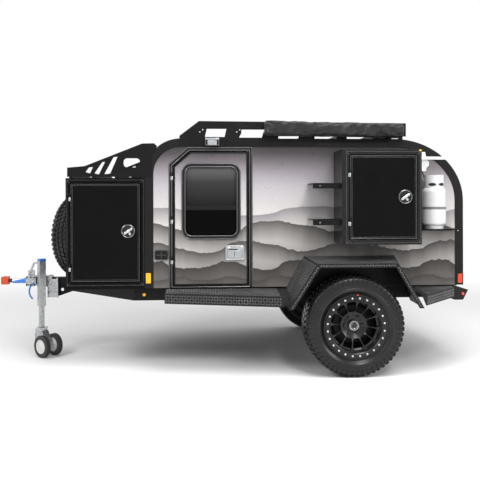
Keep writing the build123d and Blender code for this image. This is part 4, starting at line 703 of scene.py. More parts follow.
# ---------------------------------------------------------------- awning bag
# Rolled awning in a coated polyester bag, strapped to the rack's side: the cloth is drawn in at its ends and creased
# round two webbing straps.
BAG_START = (0.3125, 2.0888)        # x and z of its top front corner
BAG_LENGTH = 1.1700
BAG_TILT = math.radians(1.1)
BAG_BACK = 0.7715
BAG_FRONT = 0.8875
BAG_HEIGHT = 0.1240
STRAPS = (0.36, 0.89)               # shares of its length
STRAP_WIDTH = 0.026
STRAP_INSET = 0.0045                # of its outer face from the bag's full outline
BAG_SQUARENESS = (0.44, 0.50)       # exponents of the section, across and upwards: 1 is an oval, 0 a rectangle
BAG_FRONT_PART = -0.6               # share of the depth ahead of which the cloth is free; behind it lies on the rack
BAG_VINYL = "#2a2a29"
BAG_DUST = "#161616"
WEAVE_SCALE = 160.0
END_LENGTH = 0.016                  # over which the bag's ends close, to END_SHARE of the section
END_SHARE = 0.55
PINCH_DEPTH, PINCH_REACH = 0.005, 0.022
FOLD_DEPTH, FOLD_REACH_END, FOLD_REACH_STRAP = 0.0035, 0.07, 0.06
CLOTH_DEPTH = (0.0035, 0.0002, 0.012)       # inside the full outline: at rest, least and most


def coated_polyester():
    """Woven polyester under a matt coating: its fine weave, drawn coarser so that it shows, and soft creases."""
    material, tree = new_tree("coated_polyester")
    place = add_node(tree, "TexCoord").outputs["Object"]
    dust = add_node(tree, "TexNoise", {"Vector": place, "Scale": 6.0, "Detail": 5.0}).outputs["Fac"]
    colour = add_node(tree, "Mix", {0: dust, 6: linear(BAG_DUST), 7: linear(BAG_VINYL)}, data_type="RGBA").outputs[2]
    warp, weft = (
        add_node(tree, "TexWave", {
            "Vector": place, "Scale": WEAVE_SCALE, "Distortion": 0.4,
        }, bands_direction=way).outputs["Fac"]
        for way in ("X", "Z"))
    threads = add_node(tree, "Math", {0: warp, 1: weft}, operation="MAXIMUM").outputs["Value"]
    creases = add_node(tree, "TexNoise", {"Vector": place, "Scale": 15.0, "Detail": 4.0}).outputs["Fac"]
    fine = add_node(tree, "Bump", {"Height": threads, "Strength": 0.12, "Distance": 0.0004}).outputs["Normal"]
    bump = add_node(tree, "Bump", {
        "Height": creases, "Strength": 0.8, "Distance": 0.008, "Normal": fine,
    }).outputs["Normal"]
    surface = add_node(tree, "BsdfPrincipled", {
        "Base Color": colour, "Roughness": 0.38, "Specular IOR Level": 0.2, "Sheen Weight": 0.15,
        "Sheen Roughness": 0.4, "Normal": bump,
    })
    add_node(tree, "OutputMaterial", {"Surface": surface.outputs["BSDF"]})
    return material


def bag_oval(t):
    """Box-like oval of the bag: sign(cos t) |cos t|^a across and sign(sin t) |sin t|^b upwards."""
    across, upward = BAG_SQUARENESS
    return np.sign(np.cos(t)) * np.abs(np.cos(t)) ** across, np.sign(np.sin(t)) * np.abs(np.sin(t)) ** upward


def along_bag(run, rise):
    """x and z of a place along the bag and up from its top corner, tilted as the bag is."""
    return (BAG_START[0] + run * math.cos(BAG_TILT) + rise * math.sin(BAG_TILT),
            BAG_START[1] - run * math.sin(BAG_TILT) + rise * math.cos(BAG_TILT))


def bag_shell(length_steps, round_steps):
    """Closed bag: the box-like oval, drawn in to 0.55 over its last 16 mm by a quarter circle, pinched 5 mm at each
    strap, with folds up to 3.5 mm deep that fan from the ends and straps and die away, and shallow rolls between."""
    s = np.concatenate([
        np.linspace(0, 0.02, 7)[:-1], np.linspace(0.02, 0.98, length_steps), np.linspace(0.98, 1, 7)[1:]])[:, None]
    t = np.linspace(0, math.tau, round_steps, endpoint=False)[None]
    across, upward = bag_oval(t)
    free = across > BAG_FRONT_PART
    end = np.minimum(s, 1 - s) * BAG_LENGTH
    closing = END_SHARE + (1 - END_SHARE) * np.sqrt(1 - np.clip(1 - end / END_LENGTH, 0, 1) ** 2)
    pinch = sum(np.exp(-(((s - strap) * BAG_LENGTH) / PINCH_REACH) ** 2) for strap in STRAPS)
    fan = np.exp(-end / FOLD_REACH_END) + sum(
        np.exp(-np.abs((s - strap) * BAG_LENGTH) / FOLD_REACH_STRAP) for strap in STRAPS)
    folds = np.cos(9 * t + 3.0 * np.sin(21 * s)) * 0.6 + np.cos(14 * t - 40 * s) * 0.4
    rolls = 0.0026 * np.sin(3 * t + 11 * s) + 0.0022 * np.sin(34 * s + 2 * t) + 0.0012 * np.sin(83 * s - 5 * t)
    inward = CLOTH_DEPTH[0] + PINCH_DEPTH * pinch + FOLD_DEPTH * fan * folds + rolls * free
    inward = np.clip(inward, *CLOTH_DEPTH[1:])
    half_deep, half_high = (BAG_FRONT - BAG_BACK) / 2, BAG_HEIGHT / 2
    out = (BAG_FRONT + BAG_BACK) / 2 + across * (half_deep - np.where(free, inward, 0.0005)) * closing
    rise = -half_high + upward * (half_high - inward) * closing
    x, z = along_bag(s * BAG_LENGTH, rise)
    points = np.stack([x, -out, z + 0 * x], -1).reshape(-1, 3)
    rows = len(s)
    caps = [points[row * round_steps:(row + 1) * round_steps].mean(0) for row in (0, rows - 1)]
    rings = np.concatenate([np.repeat(caps[:1], round_steps, 0), points, np.repeat(caps[1:], round_steps, 0)])
    return rings, grid(rows + 2, round_steps, wrap_columns=True)


def strap_band(share, width, height):
    """Webbing strap round the bag: the same oval, about 4 mm proud of the pinched cloth."""
    t = np.linspace(0, math.tau, 72, endpoint=False)
    across, upward = bag_oval(t)
    rings = []
    for step, inset in ((-0.5, 0.012), (-0.5, height), (0.5, height), (0.5, 0.012)):
        out = (BAG_FRONT + BAG_BACK) / 2 + across * ((BAG_FRONT - BAG_BACK) / 2 - inset * (across > BAG_FRONT_PART))
        rise = -BAG_HEIGHT / 2 + upward * (BAG_HEIGHT / 2 - inset)
        x, z = along_bag(share * BAG_LENGTH + step * width, rise)
        rings.append(np.stack([x, -out, z], -1))
    return np.concatenate(rings), grid(4, 72, wrap_rows=True, wrap_columns=True)


POLYESTER = coated_polyester()
give(POLYESTER, "awning_bag")
bag = make_piece("awning_cover", "trailer", [bag_shell(150, 72)], POLYESTER, sharp=180)
smooth = bag.modifiers.new("cloth", "SUBSURF")
smooth.levels = smooth.render_levels = 1
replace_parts(bag, "awning_bag")
WEBBING = coated("black_webbing", "#1b1b1b", 0.7, 600.0, 0.5, specular=0.3)
make_piece("awning_straps", "trailer", [strap_band(share, STRAP_WIDTH, STRAP_INSET) for share in STRAPS], WEBBING)

# ---------------------------------------------------------------- flood lamp
# Cast aluminium flood lamp under the rack, in satin black: eight bright cells on a clear polycarbonate lens in a
# thin bezel, and a bare metal bracket along its upper edge.
LAMP_X = (-0.1815, -0.0635)
LAMP_Z = (1.880, 1.946)
LAMP_FACE = 0.8162
LENS_CLEAR = coated("clear_polycarbonate", "#94989b", 0.12, 40.0, 0.1, coat=0.2, worn="#7e8285", wear=0.3)

give(SATIN_BLACK, "flood_lamp")
soften(0.0015, "flood_lamp")
lamp_place = on_side(-1, LAMP_FACE)
lens_outline = rounded(drawn_in(LAMP_X, 0.021), drawn_in(LAMP_Z, 0.006, 0.019), 0.006, 5)
make_piece("flood_lens", "trailer", [
    bar(lens_outline, [(1, -0.002), (1, 0.0002), (0.97, 0.0005), (0.001, 0.0005)], lamp_place),
], LENS_CLEAR)
make_piece("flood_cells", "trailer", [
    heads([(x, -LAMP_FACE - 0.0004, z) for x in np.linspace(*drawn_in(LAMP_X, 0.032), 4) for z in (1.8965, 1.9165)],
          (0, -1, 0), 0.0070, 0.0001, 16),
], ZINC)
make_piece("flood_bracket", "trailer", [
    bar(rounded(drawn_in(LAMP_X, 0.001), (LAMP_Z[1] - 0.016, LAMP_Z[1] - 0.001), 0.003, 4),
        [(1, -0.002), (1, 0.0012), (0.98, 0.0016), (0.001, 0.0016)], lamp_place),
], BARE_METAL)
make_piece("flood_bezel", "trailer", [
    moulding(
        rounded(drawn_in(LAMP_X, 0.001), drawn_in(LAMP_Z, 0.001, 0.005), 0.008, 5),
        half_round(0, 0.007, 0.0005), lamp_place),
], BEAD_PAINTED_HIGHLIGHT)

# ---------------------------------------------------------------- cabinet fittings, steps and gas bottle
# A side marker on the cabinet, climbing steps, and a steel bottle in white enamel with a grey rubber band, a brass
# valve, hand holes in its collar drawn as dark patches of painted shade, and a black-sleeved pipe into the body.
# A white plate stands between the cabinet and the bar over the bottle.
BOTTLE_X = 1.7315
BOTTLE_Y = -0.880
BOTTLE_FOOT = 1.184
BAND_FOOT = 1.346 - BOTTLE_FOOT         # heights of the profiles are from the bottle's foot
BAND = [
    (0.0952, BAND_FOOT), (0.0962, BAND_FOOT + 0.002), (0.0962, BAND_FOOT + 0.020), (0.0952, BAND_FOOT + 0.022)]
FOOT_BAND = [(0.0955, 0.028), (0.0965, 0.030), (0.0955, 0.032)]
SEAM = [(0.0945, 0.168), (0.0962, 0.1695), (0.0962, 0.1725), (0.0945, 0.174)]
VALVE = [(0.0165, 0.362), (0.0165, 0.392), (0.020, 0.394), (0.020, 0.402), (0.012, 0.404), (0.012, 0.410), (0, 0.410)]
OUTLET_Z = 1.572
OUTLET = [(0.0, -0.004), (0.011, -0.004), (0.011, 0.030), (0.016, 0.031), (0.016, 0.044), (0.0, 0.044)]
HANDWHEEL_FOOT = 0.365
HANDWHEEL = [
    (0.0, 0.0575), (0.020, 0.0575), (0.026, 0.055), (0.029, 0.049), (0.029, 0.043), (0.026, 0.040), (0.0, 0.040)]
PIPE_RADIUS = 0.0045
PIPE_CORNERS = (
    (1.690, -0.880, OUTLET_Z), (1.668, -0.868, 1.585), (1.650, -0.845, 1.640), (1.648, -0.815, 1.690),
    (1.652, -0.785, 1.705), (1.656, -0.763, 1.706))
COLLAR_RADIUS = 0.078
HAND_HOLE = (0.032, 0.013)              # half its length round the collar and half its height
HAND_HOLE_Z = 1.552
BRACKET_OUTLINE = (
    (1.628, 1.665), (1.664, 1.665), (1.666, 1.693), (1.687, 1.712), (1.688, 1.742), (1.666, 1.765), (1.655, 1.825),
    (1.628, 1.825))
BRACKET_FACE = 0.880
CABINET_REAR = 1.5605
CABINET_MARKER_Z = (1.818, 1.829)
WHITE_ENAMEL = coated("white_enamel", "#d2d3d4", 0.24, 30.0, 0.12, coat=0.2, worn="#cfcdc9", wear=0.35)
WHITE_PAINT = coated("white_powder_coat", "#d9d9d7", 0.4, 120.0, 0.2, worn="#b5b3af", wear=0.4)
RUBBER = coated("black_rubber", "#1c1c1c", 0.62, 90.0, 0.25, specular=0.35)
GREY_BAND = coated("grey_nitrile_rubber", "#6c6c6c", 0.5, 90.0, 0.2, specular=0.35, worn="#8a8a8a", wear=0.4)
BRASS = coated("brass", "#b08d48", 0.28, 70.0, 0.1, metallic=1.0, worn="#7c6230", wear=0.5)
AMBER_LENS = coated("amber_acrylic", "#f5b80c", 0.16, 50.0, 0.1, coat=0.5, worn="#e09c00", wear=0.3)
RED_LENS = coated("red_acrylic", "#e8401f", 0.16, 50.0, 0.1, coat=0.5, worn="#b82408", wear=0.3)


def tube(path, radius, sides=12):
    """Round tube along a smooth path that stays out of line with up: point = path + r (cos t n + sin t b),
    with n the crossing of the tangent and up, and both ends drawn in to a point."""
    path = np.asarray(path, float)
    ahead = np.gradient(path, axis=0)
    ahead /= np.linalg.norm(ahead, axis=1, keepdims=True)
    up = np.array((0.31, 0.93, 0.19))
    n = np.cross(ahead, up)
    n /= np.linalg.norm(n, axis=1, keepdims=True)
    b = np.cross(ahead, n)
    turn = np.linspace(0, math.tau, sides, endpoint=False)[:, None]
    ring = np.cos(turn) * n[:, None] + np.sin(turn) * b[:, None]
    size = np.concatenate([[0.0], np.full(len(path), radius), [0.0]])[:, None, None]
    line = np.concatenate([path[:1], path, path[-1:]])[:, None]
    points = line + size * np.concatenate([ring[:1], ring, ring[-1:]])
    return points.reshape(-1, 3), grid(len(path) + 2, sides, wrap_columns=True)


def smooth_path(corners, steps=24):
    """Smooth line through corners: piecewise cubic (Hermite), its slope at a corner half the step across it."""
    corners = np.asarray(corners, float)
    slope = np.gradient(corners, axis=0)
    t = np.linspace(0, 1, steps, endpoint=False)[:, None, None]
    h = (2 * t ** 3 - 3 * t ** 2 + 1, t ** 3 - 2 * t ** 2 + t, -2 * t ** 3 + 3 * t ** 2, t ** 3 - t ** 2)
    line = h[0] * corners[:-1] + h[1] * slope[:-1] + h[2] * corners[1:] + h[3] * slope[1:]
    return np.concatenate([line.transpose(1, 0, 2).reshape(-1, 3), corners[-1:]])


give(WHITE_ENAMEL, "gas_bottle")
give(WHITE_PAINT, "bottle_bracket")
give(SATIN_BLACK, "bottle_tray", "climbing_steps")
soften(0.0010, "bottle_bracket", "bottle_tray", "climbing_steps")
bottle_spot = (BOTTLE_X, BOTTLE_Y, BOTTLE_FOOT)
make_piece("bottle_band", "trailer", [
    lathe(profile, bottle_spot, (1, 0, 0), (0, 1, 0), 64) for profile in (BAND, FOOT_BAND)
], GREY_BAND)
make_piece("bottle_seam", "trailer", [lathe(SEAM, bottle_spot, (1, 0, 0), (0, 1, 0), 64)], WHITE_ENAMEL)
make_piece("bottle_valve", "trailer", [
    lathe(VALVE, bottle_spot, (1, 0, 0), (0, 1, 0), 24),
    lathe(OUTLET, (BOTTLE_X, BOTTLE_Y, OUTLET_Z), (0, 0, 1), (0, 1, 0), 20),
], BRASS)
make_piece("bottle_handwheel", "trailer", [
    lathe(HANDWHEEL, (BOTTLE_X, BOTTLE_Y, BOTTLE_FOOT + HANDWHEEL_FOOT), (1, 0, 0), (0, 1, 0), 36),
], RUBBER)
make_piece("gas_pipe", "trailer", [
    tube(smooth_path(PIPE_CORNERS), PIPE_RADIUS),
    lathe([(0.0, 0.006), (0.013, 0.006), (0.013, 0.0), (0.0, 0.0)], (1.656, -0.762, 1.706), (1, 0, 0), (0, 0, 1), 18),
], RUBBER)
# Painted shade: dark rubber patches on the collar stand in for the shade inside its hand holes.
make_piece("collar_openings_painted_shade", "trailer", [
    bar([(middle + HAND_HOLE[0] * math.cos(t), HAND_HOLE_Z + HAND_HOLE[1] * math.sin(t))
         for t in np.linspace(0, math.tau, 28, endpoint=False)],
        [(1, -0.001), *((size, 0.0006) for size in (1, 0.8, 0.6, 0.4, 0.2, 0.001))],
        lambda arc, z, h: np.stack([
            BOTTLE_X + (COLLAR_RADIUS + h) * np.sin(arc / COLLAR_RADIUS),
            BOTTLE_Y - (COLLAR_RADIUS + h) * np.cos(arc / COLLAR_RADIUS), z], 1))
    for middle in (-0.042, 0.042)
], RUBBER)
make_piece("bracket_plate", "trailer", [
    bar(BRACKET_OUTLINE, [(0.001, 0.0), (1, 0.0), (1, 0.004), (0.001, 0.004)], on_side(-1, BRACKET_FACE)),
], WHITE_PAINT)
make_piece("tray_end_cap", "trailer", [
    lathe([(0.0, 0.0022), (0.0085, 0.0020), (0.0108, 0.0), (0.0108, -0.004), (0.0, -0.004)],
          (1.9335, -0.880, 1.1725), (0, -1, 0), (0, 0, 1), 20),
], WHITE_PAINT)
make_piece("cabinet_marker", "trailer", [
    bar(rounded((CABINET_REAR - 0.024, CABINET_REAR - 0.004), CABINET_MARKER_Z, 0.003, 4),
        [(1, -0.001), (1, 0.002), (0.8, 0.0034), (0.001, 0.0036)], on_side(-1, 1.082)),
], AMBER_LENS)

# ---------------------------------------------------------------- power inlet, markers and tail lamps
# Moulded inlet with a sprung lid; ribbed acrylic marker lenses on the body's side, round ones on the chassis and
# bumper, and two long red tail lamps on the bumper.
SIDE_MARKERS = (
    # name, x, z, lens
    ("amber", (-0.6755, -0.6355), (0.737, 0.821), AMBER_LENS),
    ("red", (1.9775, 2.0135), (0.715, 0.792), RED_LENS),
)
MARKER_FACE = 0.773
MARKER_RIB = [(1, -0.0005), (1, 0.0002), (0.75, 0.0011), (0.001, 0.0014)]
INLET_FACE = 0.780
INLET_LID = [(1, -0.001), (1, 0.004), (0.95, 0.0058), (0.001, 0.0066)]
INLET_CROSS = [(1, 0.004), (1, 0.0078), (0.001, 0.0078)]
BUMPER_FACE = 2.0795
TAIL_LAMP_OUT = 0.585           # from the middle plane
TAIL_LAMP_HALF = 0.062
TAIL_LAMP_Z = (0.602, 0.652)
TAIL_LAMP = [(1, -0.001), (1, 0.0025), (0.9, 0.0045), (0.001, 0.0055)]

give(WINDOW_BLACK, "power_inlet")
give(AMBER_LENS, "amber_markers")
give(RED_LENS, "red_markers")
soften(0.0020, "power_inlet")
soften(0.0012, "amber_markers", "red_markers")
for side, name in ((-1, "left"), (1, "right")):
    for label, x_range, z_range, lens in SIDE_MARKERS:
        make_piece(f"{label}_ribs_{name}", "trailer", [
            bar(ring_of(drawn_in(x_range, 0.004), (z - 0.0028, z + 0.0028)), MARKER_RIB, on_side(side, MARKER_FACE))
            for z in np.linspace(*drawn_in(z_range, 0.008), 9)
        ], lens)
    make_piece(f"round_marker_{name}", "trailer", [
        heads([(-0.6963, side * 0.7003, 0.6333)], (0, side, 0), 0.0135, 0.011, 24),
    ], AMBER_LENS)
    make_piece(f"bumper_marker_{name}", "trailer", [
        heads([(2.030, side * 0.7453, 0.6176)], (0, side, 0), 0.0125, 0.009, 24),
    ], RED_LENS)
inlet_place = on_side(-1, INLET_FACE)
make_piece("inlet_lid", "trailer", [
    bar(rounded((-0.5935, -0.5015), (0.940, 1.004), 0.012, 5), INLET_LID, inlet_place),
], WINDOW_BLACK)
make_piece("inlet_ribs", "trailer", [
    moulding(rounded((-0.6035, -0.4915), (0.932, 1.012), 0.010, 5), half_round(0.002, 0.0045, 0.0022), inlet_place),
    bar(ring_of((-0.590, -0.505), (0.9700, 0.9730)), INLET_CROSS, inlet_place),
    bar(ring_of((-0.5490, -0.5460), (0.942, 1.002)), INLET_CROSS, inlet_place),
], BEAD_PAINTED_HIGHLIGHT)
make_piece("tail_lamps", "trailer", [
    bar(rounded((y - TAIL_LAMP_HALF, y + TAIL_LAMP_HALF), TAIL_LAMP_Z, 0.024, 7), TAIL_LAMP,
        lambda y, z, h: np.stack([BUMPER_FACE - 0.006 + h, y, z], 1))
    for y in (-TAIL_LAMP_OUT, TAIL_LAMP_OUT)
], RED_LENS)

# ---------------------------------------------------------------- chequer plate
# Fenders, running boards, skirts and bumper are folded from black powder-coated chequer plate: raised lozenges
# 24 mm long and 1.3 mm high, alternately at +45 and -45 degrees, 22 mm apart, each painted paler than the plate as
# a painted highlight. A flat black liner covers the body inside each fender.
LUG_PITCH = 0.022
LUG_LONG = 0.0118
LUG_WIDE = 0.0038
LUG_HIGH = 0.0013
FENDER_Y = (0.7623, 1.107)
FENDER_HIGH = ((-0.366, 0.410), 0.952)      # ends of the top at the body, from the axle, and its height
FENDER_LOW = ((-0.310, 0.342), 0.918)       # the same along the outer edge
FEET_BODY = (-0.592, 0.573)
FEET_OUT = (-0.542, 0.553)
FEET_Z = 0.556
FENDER_LIP = 0.033
CHEQUER = coated(
    "black_powder_coated_chequer_plate", "#191919", 0.34, 170.0, 0.25, specular=0.22, worn="#303030", wear=0.35)
# Painted highlight: the lozenges are coloured far paler than the plate, standing in for the light on their crests.
LUG_PAINTED_HIGHLIGHT = coated("chequer_lugs_painted_highlight", "#6c6c6c", 0.26, 170.0, 0.2, specular=0.6, worn="#9a9a9a", wear=0.5)


def chequer(corners, margin=0.014):
    """Lozenges over a panel of four corners, bilinear between them: each is a six-sided ridge whose sides slope to a
    crest, turned +45 or -45 degrees in a square pattern, cut off at the panel's edge and lower on upright panels."""
    a, b, c, d = np.asarray(corners, float)
    along, across = (b - a + c - d) / 2, (d - a + c - b) / 2
    long, wide = np.linalg.norm(along), np.linalg.norm(across)
    out = np.cross(along, across)
    out /= np.linalg.norm(out)
    columns, rows = max(int((long - 2 * margin) / LUG_PITCH) + 1, 1), max(int((wide - 2 * margin) / LUG_PITCH) + 1, 1)
    i, j = np.meshgrid(np.arange(columns), np.arange(rows), indexing="ij")
    s = 0.5 + (i.ravel() - (columns - 1) / 2) * LUG_PITCH / long
    t = 0.5 + (j.ravel() - (rows - 1) / 2) * LUG_PITCH / wide
    turn = np.where((i + j).ravel() % 2 == 0, math.pi / 4, -math.pi / 4)
    flat = np.array([(-1, 0), (-0.45, -1), (0.45, -1), (1, 0), (0.45, 1), (-0.45, 1)]) * (LUG_LONG, LUG_WIDE)
    crest = flat * (0.70, 0.25)
    shape = np.concatenate([flat, crest])
    high = np.repeat([-0.0004, LUG_HIGH * (1.0 if abs(out[1]) < 0.95 else 0.4)], 6)
    c_turn, s_turn = np.cos(turn)[:, None], np.sin(turn)[:, None]
    u = c_turn * shape[:, 0] - s_turn * shape[:, 1]
    v = s_turn * shape[:, 0] + c_turn * shape[:, 1]
    s_lug, t_lug = s[:, None] + u / long, t[:, None] + v / wide
    edge_s, edge_t = 0.003 / long, 0.003 / wide
    s_lug, t_lug = np.clip(s_lug, edge_s, 1 - edge_s), np.clip(t_lug, edge_t, 1 - edge_t)
    s_lug, t_lug = s_lug[..., None], t_lug[..., None]
    points = (1 - s_lug) * (1 - t_lug) * a + s_lug * (1 - t_lug) * b + s_lug * t_lug * c + (1 - s_lug) * t_lug * d
    points = points + out * high[:, None]
    side = grid(2, 6, wrap_columns=True)
    quads = np.concatenate([side, [(6, 7, 8, 9), (6, 9, 10, 11), (0, 3, 2, 1), (0, 5, 4, 3)]])
    return points.reshape(-1, 3), (quads + 12 * np.arange(len(s))[:, None, None]).reshape(-1, 4)


def lugs(panels, side):
    """Lozenges of left-hand panels, whose corners run anticlockwise from outside; the right side is their mirror."""
    panels = np.asarray(panels, float)
    return [chequer(panel if side < 0 else panel[::-1] * (1, -1, 1)) for panel in panels]


(top_front, top_rear), top_z = FENDER_HIGH
(out_front, out_rear), out_z = FENDER_LOW
inner, outer, lip = -FENDER_Y[0], -FENDER_Y[1], FENDER_LIP
inner_face = FENDER_Y[0] - 0.0001
ARCH = [(AXLE_X + x, z) for x, z in ((-0.508, 0.6965), (0.511, 0.6965), (0.405, 0.947), (-0.361, 0.947))]
FENDER_PANELS = np.array([
    [(out_front, outer, out_z), (out_rear, outer, out_z), (top_rear, inner, top_z), (top_front, inner, top_z)],
    [(FEET_OUT[0], outer, FEET_Z), (out_front, outer, out_z), (top_front, inner, top_z), (FEET_BODY[0], inner, FEET_Z)],
    [(out_rear, outer, out_z), (FEET_OUT[1], outer, FEET_Z), (FEET_BODY[1], inner, FEET_Z), (top_rear, inner, top_z)],
    [(out_front + lip * 0.6, outer, out_z - lip), (out_rear - lip * 0.6, outer, out_z - lip),
     (out_rear, outer, out_z), (out_front, outer, out_z)],
    [(FEET_OUT[0] + lip * 1.1, outer, FEET_Z), (out_front + lip * 0.6, outer, out_z - lip),
     (out_front, outer, out_z), (FEET_OUT[0], outer, FEET_Z)],
    [(out_rear - lip * 0.6, outer, out_z - lip), (FEET_OUT[1] - lip * 1.1, outer, FEET_Z),
     (FEET_OUT[1], outer, FEET_Z), (out_rear, outer, out_z)],
]) + (AXLE_X, 0, 0)
BOARD_PANELS = np.array([
    [(-0.5145, -0.9300, 0.6740), (0.4245, -1.1070, 0.6617), (0.4245, -0.7640, 0.6857), (-0.5145, -0.7640, 0.6857)],
    [(-0.5145, -0.9300, 0.5900), (0.4245, -1.1070, 0.5777), (0.4245, -1.1070, 0.6617), (-0.5145, -0.9300, 0.6740)],
    [(1.5895, -1.1070, 0.6617), (1.9315, -0.8100, 0.6824), (1.9315, -0.7640, 0.6857), (1.5895, -0.7640, 0.6857)],
    [(1.5895, -1.1070, 0.5777), (1.9315, -0.8100, 0.5984), (1.9315, -0.8100, 0.6824), (1.5895, -1.1070, 0.6617)],
])
STEP_PANELS = np.array([
    [(0.6805, -1.0400, z), (0.9065, -1.0400, z), (0.9065, -0.7640, z), (0.6805, -0.7640, z)] for z in (1.266, 1.562)])
PLATE_PARTS = ("fender_left", "fender_right", "running_board_left", "running_board_right", "rear_bumper")
give(CHEQUER, *PLATE_PARTS)
soften(0.0025, *PLATE_PARTS)
for side, name in ((-1, "left"), (1, "right")):
    make_piece(f"fender_lugs_{name}", "trailer", lugs(FENDER_PANELS, side), LUG_PAINTED_HIGHLIGHT)
    make_piece(f"board_lugs_{name}", "trailer", lugs(BOARD_PANELS, side), LUG_PAINTED_HIGHLIGHT)
    make_piece(f"arch_liner_{name}", "trailer", [
        bar(ARCH, [(1, -0.0005), (1, 0.0012), (0.001, 0.0012)], on_side(side, inner_face)),
    ], SATIN_BLACK)
make_piece("step_lugs", "trailer", lugs(STEP_PANELS, -1), SATIN_BLACK)

# ---------------------------------------------------------------- wheels
# All-terrain radial tyres on cast alloy rims in satin black. The rim's outer ring carries 24 zinc-plated bolts,
# the hub has a chrome dust cap whose rings and middle are painted dark as painted shade, and a cast-iron brake drum
# turns behind the windows, its own dark grey deepened to near black as painted shade.
WHEEL_CENTRE = (AXLE_X, 0.967, 0.409)
SPARE_CENTRE = (-1.2924, 0.0876, 1.097)
SPARE_OUT = (-math.cos(math.radians(28)), math.sin(math.radians(28)), 0.0)
PITCHES = 56
CARCASS = (
    # radius, offset from the wheel's middle plane: outer half, from the bead to the crown
    (0.2285, 0.1080), (0.2380, 0.1140), (0.2450, 0.1195), (0.2500, 0.1238), (0.2540, 0.1248), (0.2600, 0.1240),
    (0.2625, 0.1205), (0.2645, 0.1125), (0.2680, 0.1085), (0.2730, 0.1095), (0.2830, 0.1172), (0.2930, 0.1252),
    (0.3020, 0.1288), (0.3045, 0.1302), (0.3075, 0.1302), (0.3100, 0.1284),
    (0.3220, 0.1270), (0.3245, 0.1282), (0.3275, 0.1280), (0.3300, 0.1250),
    (0.3430, 0.1225), (0.3620, 0.1192), (0.3760, 0.1160), (0.3850, 0.1120), (0.3925, 0.1040), (0.3955, 0.0850),
    (0.3975, 0.0400),
)
SIDE_LINE = (
    # offset, radius: the line on which the tread blocks stand, from the crown outwards
    (0.0, 0.3985), (0.060, 0.3975), (0.094, 0.3955), (0.107, 0.3905), (0.1150, 0.3800), (0.1192, 0.3620),
    (0.1225, 0.3430), (0.1240, 0.3330),
)
TYRE_RUBBER = coated("tyre_rubber", "#131313", 0.25, 120.0, 0.12, specular=0.34, worn="#242322", wear=0.4)
RIM_BLACK = coated("satin_black_alloy_paint", "#0b0b0b", 0.24, 160.0, 0.1, specular=0.4, worn="#1c1c1c", wear=0.1)
# Painted shade: the drum and backing plate are painted near black, standing in for the shade behind the rim's windows.
CAST_IRON_PAINTED_SHADE = coated("cast_iron_painted_shade", "#161617", 0.5, 90.0, 0.4, specular=0.2, worn="#2a2928", wear=0.5)

# Closed sections of the rim as (radius, offset from the middle plane), and the line along the top of a spoke.
BARREL = (
    (0.2440, -0.1200), (0.2147, -0.1200), (0.2147, -0.0580), (0.1870, -0.0440), (0.1870, 0.0460), (0.2087, 0.0620),
    (0.2087, 0.1200), (0.2220, 0.1280), (0.2420, 0.1280), (0.2440, 0.1160), (0.2360, 0.1080), (0.2237, 0.1080),
    (0.2237, 0.0580), (0.1960, 0.0420), (0.1960, -0.0480), (0.2237, -0.0620), (0.2237, -0.1080), (0.2360, -0.1080),
    (0.2440, -0.1120))
HUB_DISC = (
    (0.042, 0.0085), (0.092, 0.0085), (0.1120, 0.0230), (0.1125, 0.0430), (0.1090, 0.0455), (0.1050, 0.0440),
    (0.0700, 0.0225), (0.0660, 0.0215), (0.042, 0.0215))
WINDOW_RING = (
    (0.1975, 0.0700), (0.2100, 0.0720), (0.2120, 0.0900), (0.2085, 0.0950), (0.2020, 0.0945), (0.1975, 0.0880))
SPOKE_LINE = (
    (0.1060, 0.0430), (0.1220, 0.0560), (0.1400, 0.0670), (0.1600, 0.0760), (0.1800, 0.0840), (0.2010, 0.0920))
SPOKE_HALF = 0.0050
SPOKE_FLARE = (0.0090, 0.0180)          # at the hub and at the ring
SPOKE_DEEP = 0.022
SPOKE_SECTION = (                       # share of the half width, step along it, height above the line
    (-1, 0, -SPOKE_DEEP), (1, 0, -SPOKE_DEEP), (1, 0, -0.003), (1, -0.003, 0), (-1, 0.003, 0), (-1, 0, -0.003))
RING = (
    (0.2130, 0.110), (0.2140, 0.1245), (0.2180, 0.1285), (0.2420, 0.1290), (0.2475, 0.1275), (0.2490, 0.1235))
RING_BOLTS = (0.2315, 0.1290)           # radius and height of their circle
DRUM = (
    (0.092, -0.022), (0.140, -0.020), (0.158, -0.026), (0.162, -0.036), (0.162, -0.066), (0.150, -0.068),
    (0.092, -0.068))
BACKING_PLATE = (
    (0.092, -0.070), (0.170, -0.070), (0.180, -0.060), (0.2115, -0.060), (0.2115, -0.066), (0.172, -0.074),
    (0.092, -0.074))
DUST_CAP = (
    (0.0406, 0.030), (0.0406, 0.054), (0.038, 0.0585), (0.031, 0.0604), (0.024, 0.0606), (0.022, 0.0592),
    (0.016, 0.0592), (0.0145, 0.0606), (0.0, 0.0610))
CAP_RING = ((0.0318, 0.0598), (0.0300, 0.0612), (0.0255, 0.0612), (0.0238, 0.0598))
CAP_MIDDLE = ((0.0150, 0.0600), (0.0140, 0.0616), (0.0, 0.0612))

# Tread block outlines: (line along the tread's width in metres, share of the pitch), one tuple of corners a column.
TREAD = (
    # outline, shift in pitches, height above the groove
    (((-0.016, 0.10), (0.004, 0.02), (0.021, 0.30), (0.018, 0.82), (-0.002, 0.92), (-0.020, 0.60)), 0.0, 0.0095),
    (((0.030, 0.06), (0.050, 0.20), (0.060, 0.16), (0.060, 0.62), (0.046, 0.84), (0.028, 0.66)), 0.35, 0.0095),
    (((0.068, 0.10), (0.094, 0.06), (0.112, 0.10), (0.112, 0.66), (0.094, 0.72), (0.068, 0.66)), 0.05, 0.0095),
    (((0.119, 0.10), (0.136, 0.14), (0.152, 0.24), (0.152, 0.50), (0.136, 0.58), (0.119, 0.64)), 0.05, 0.0062),
)


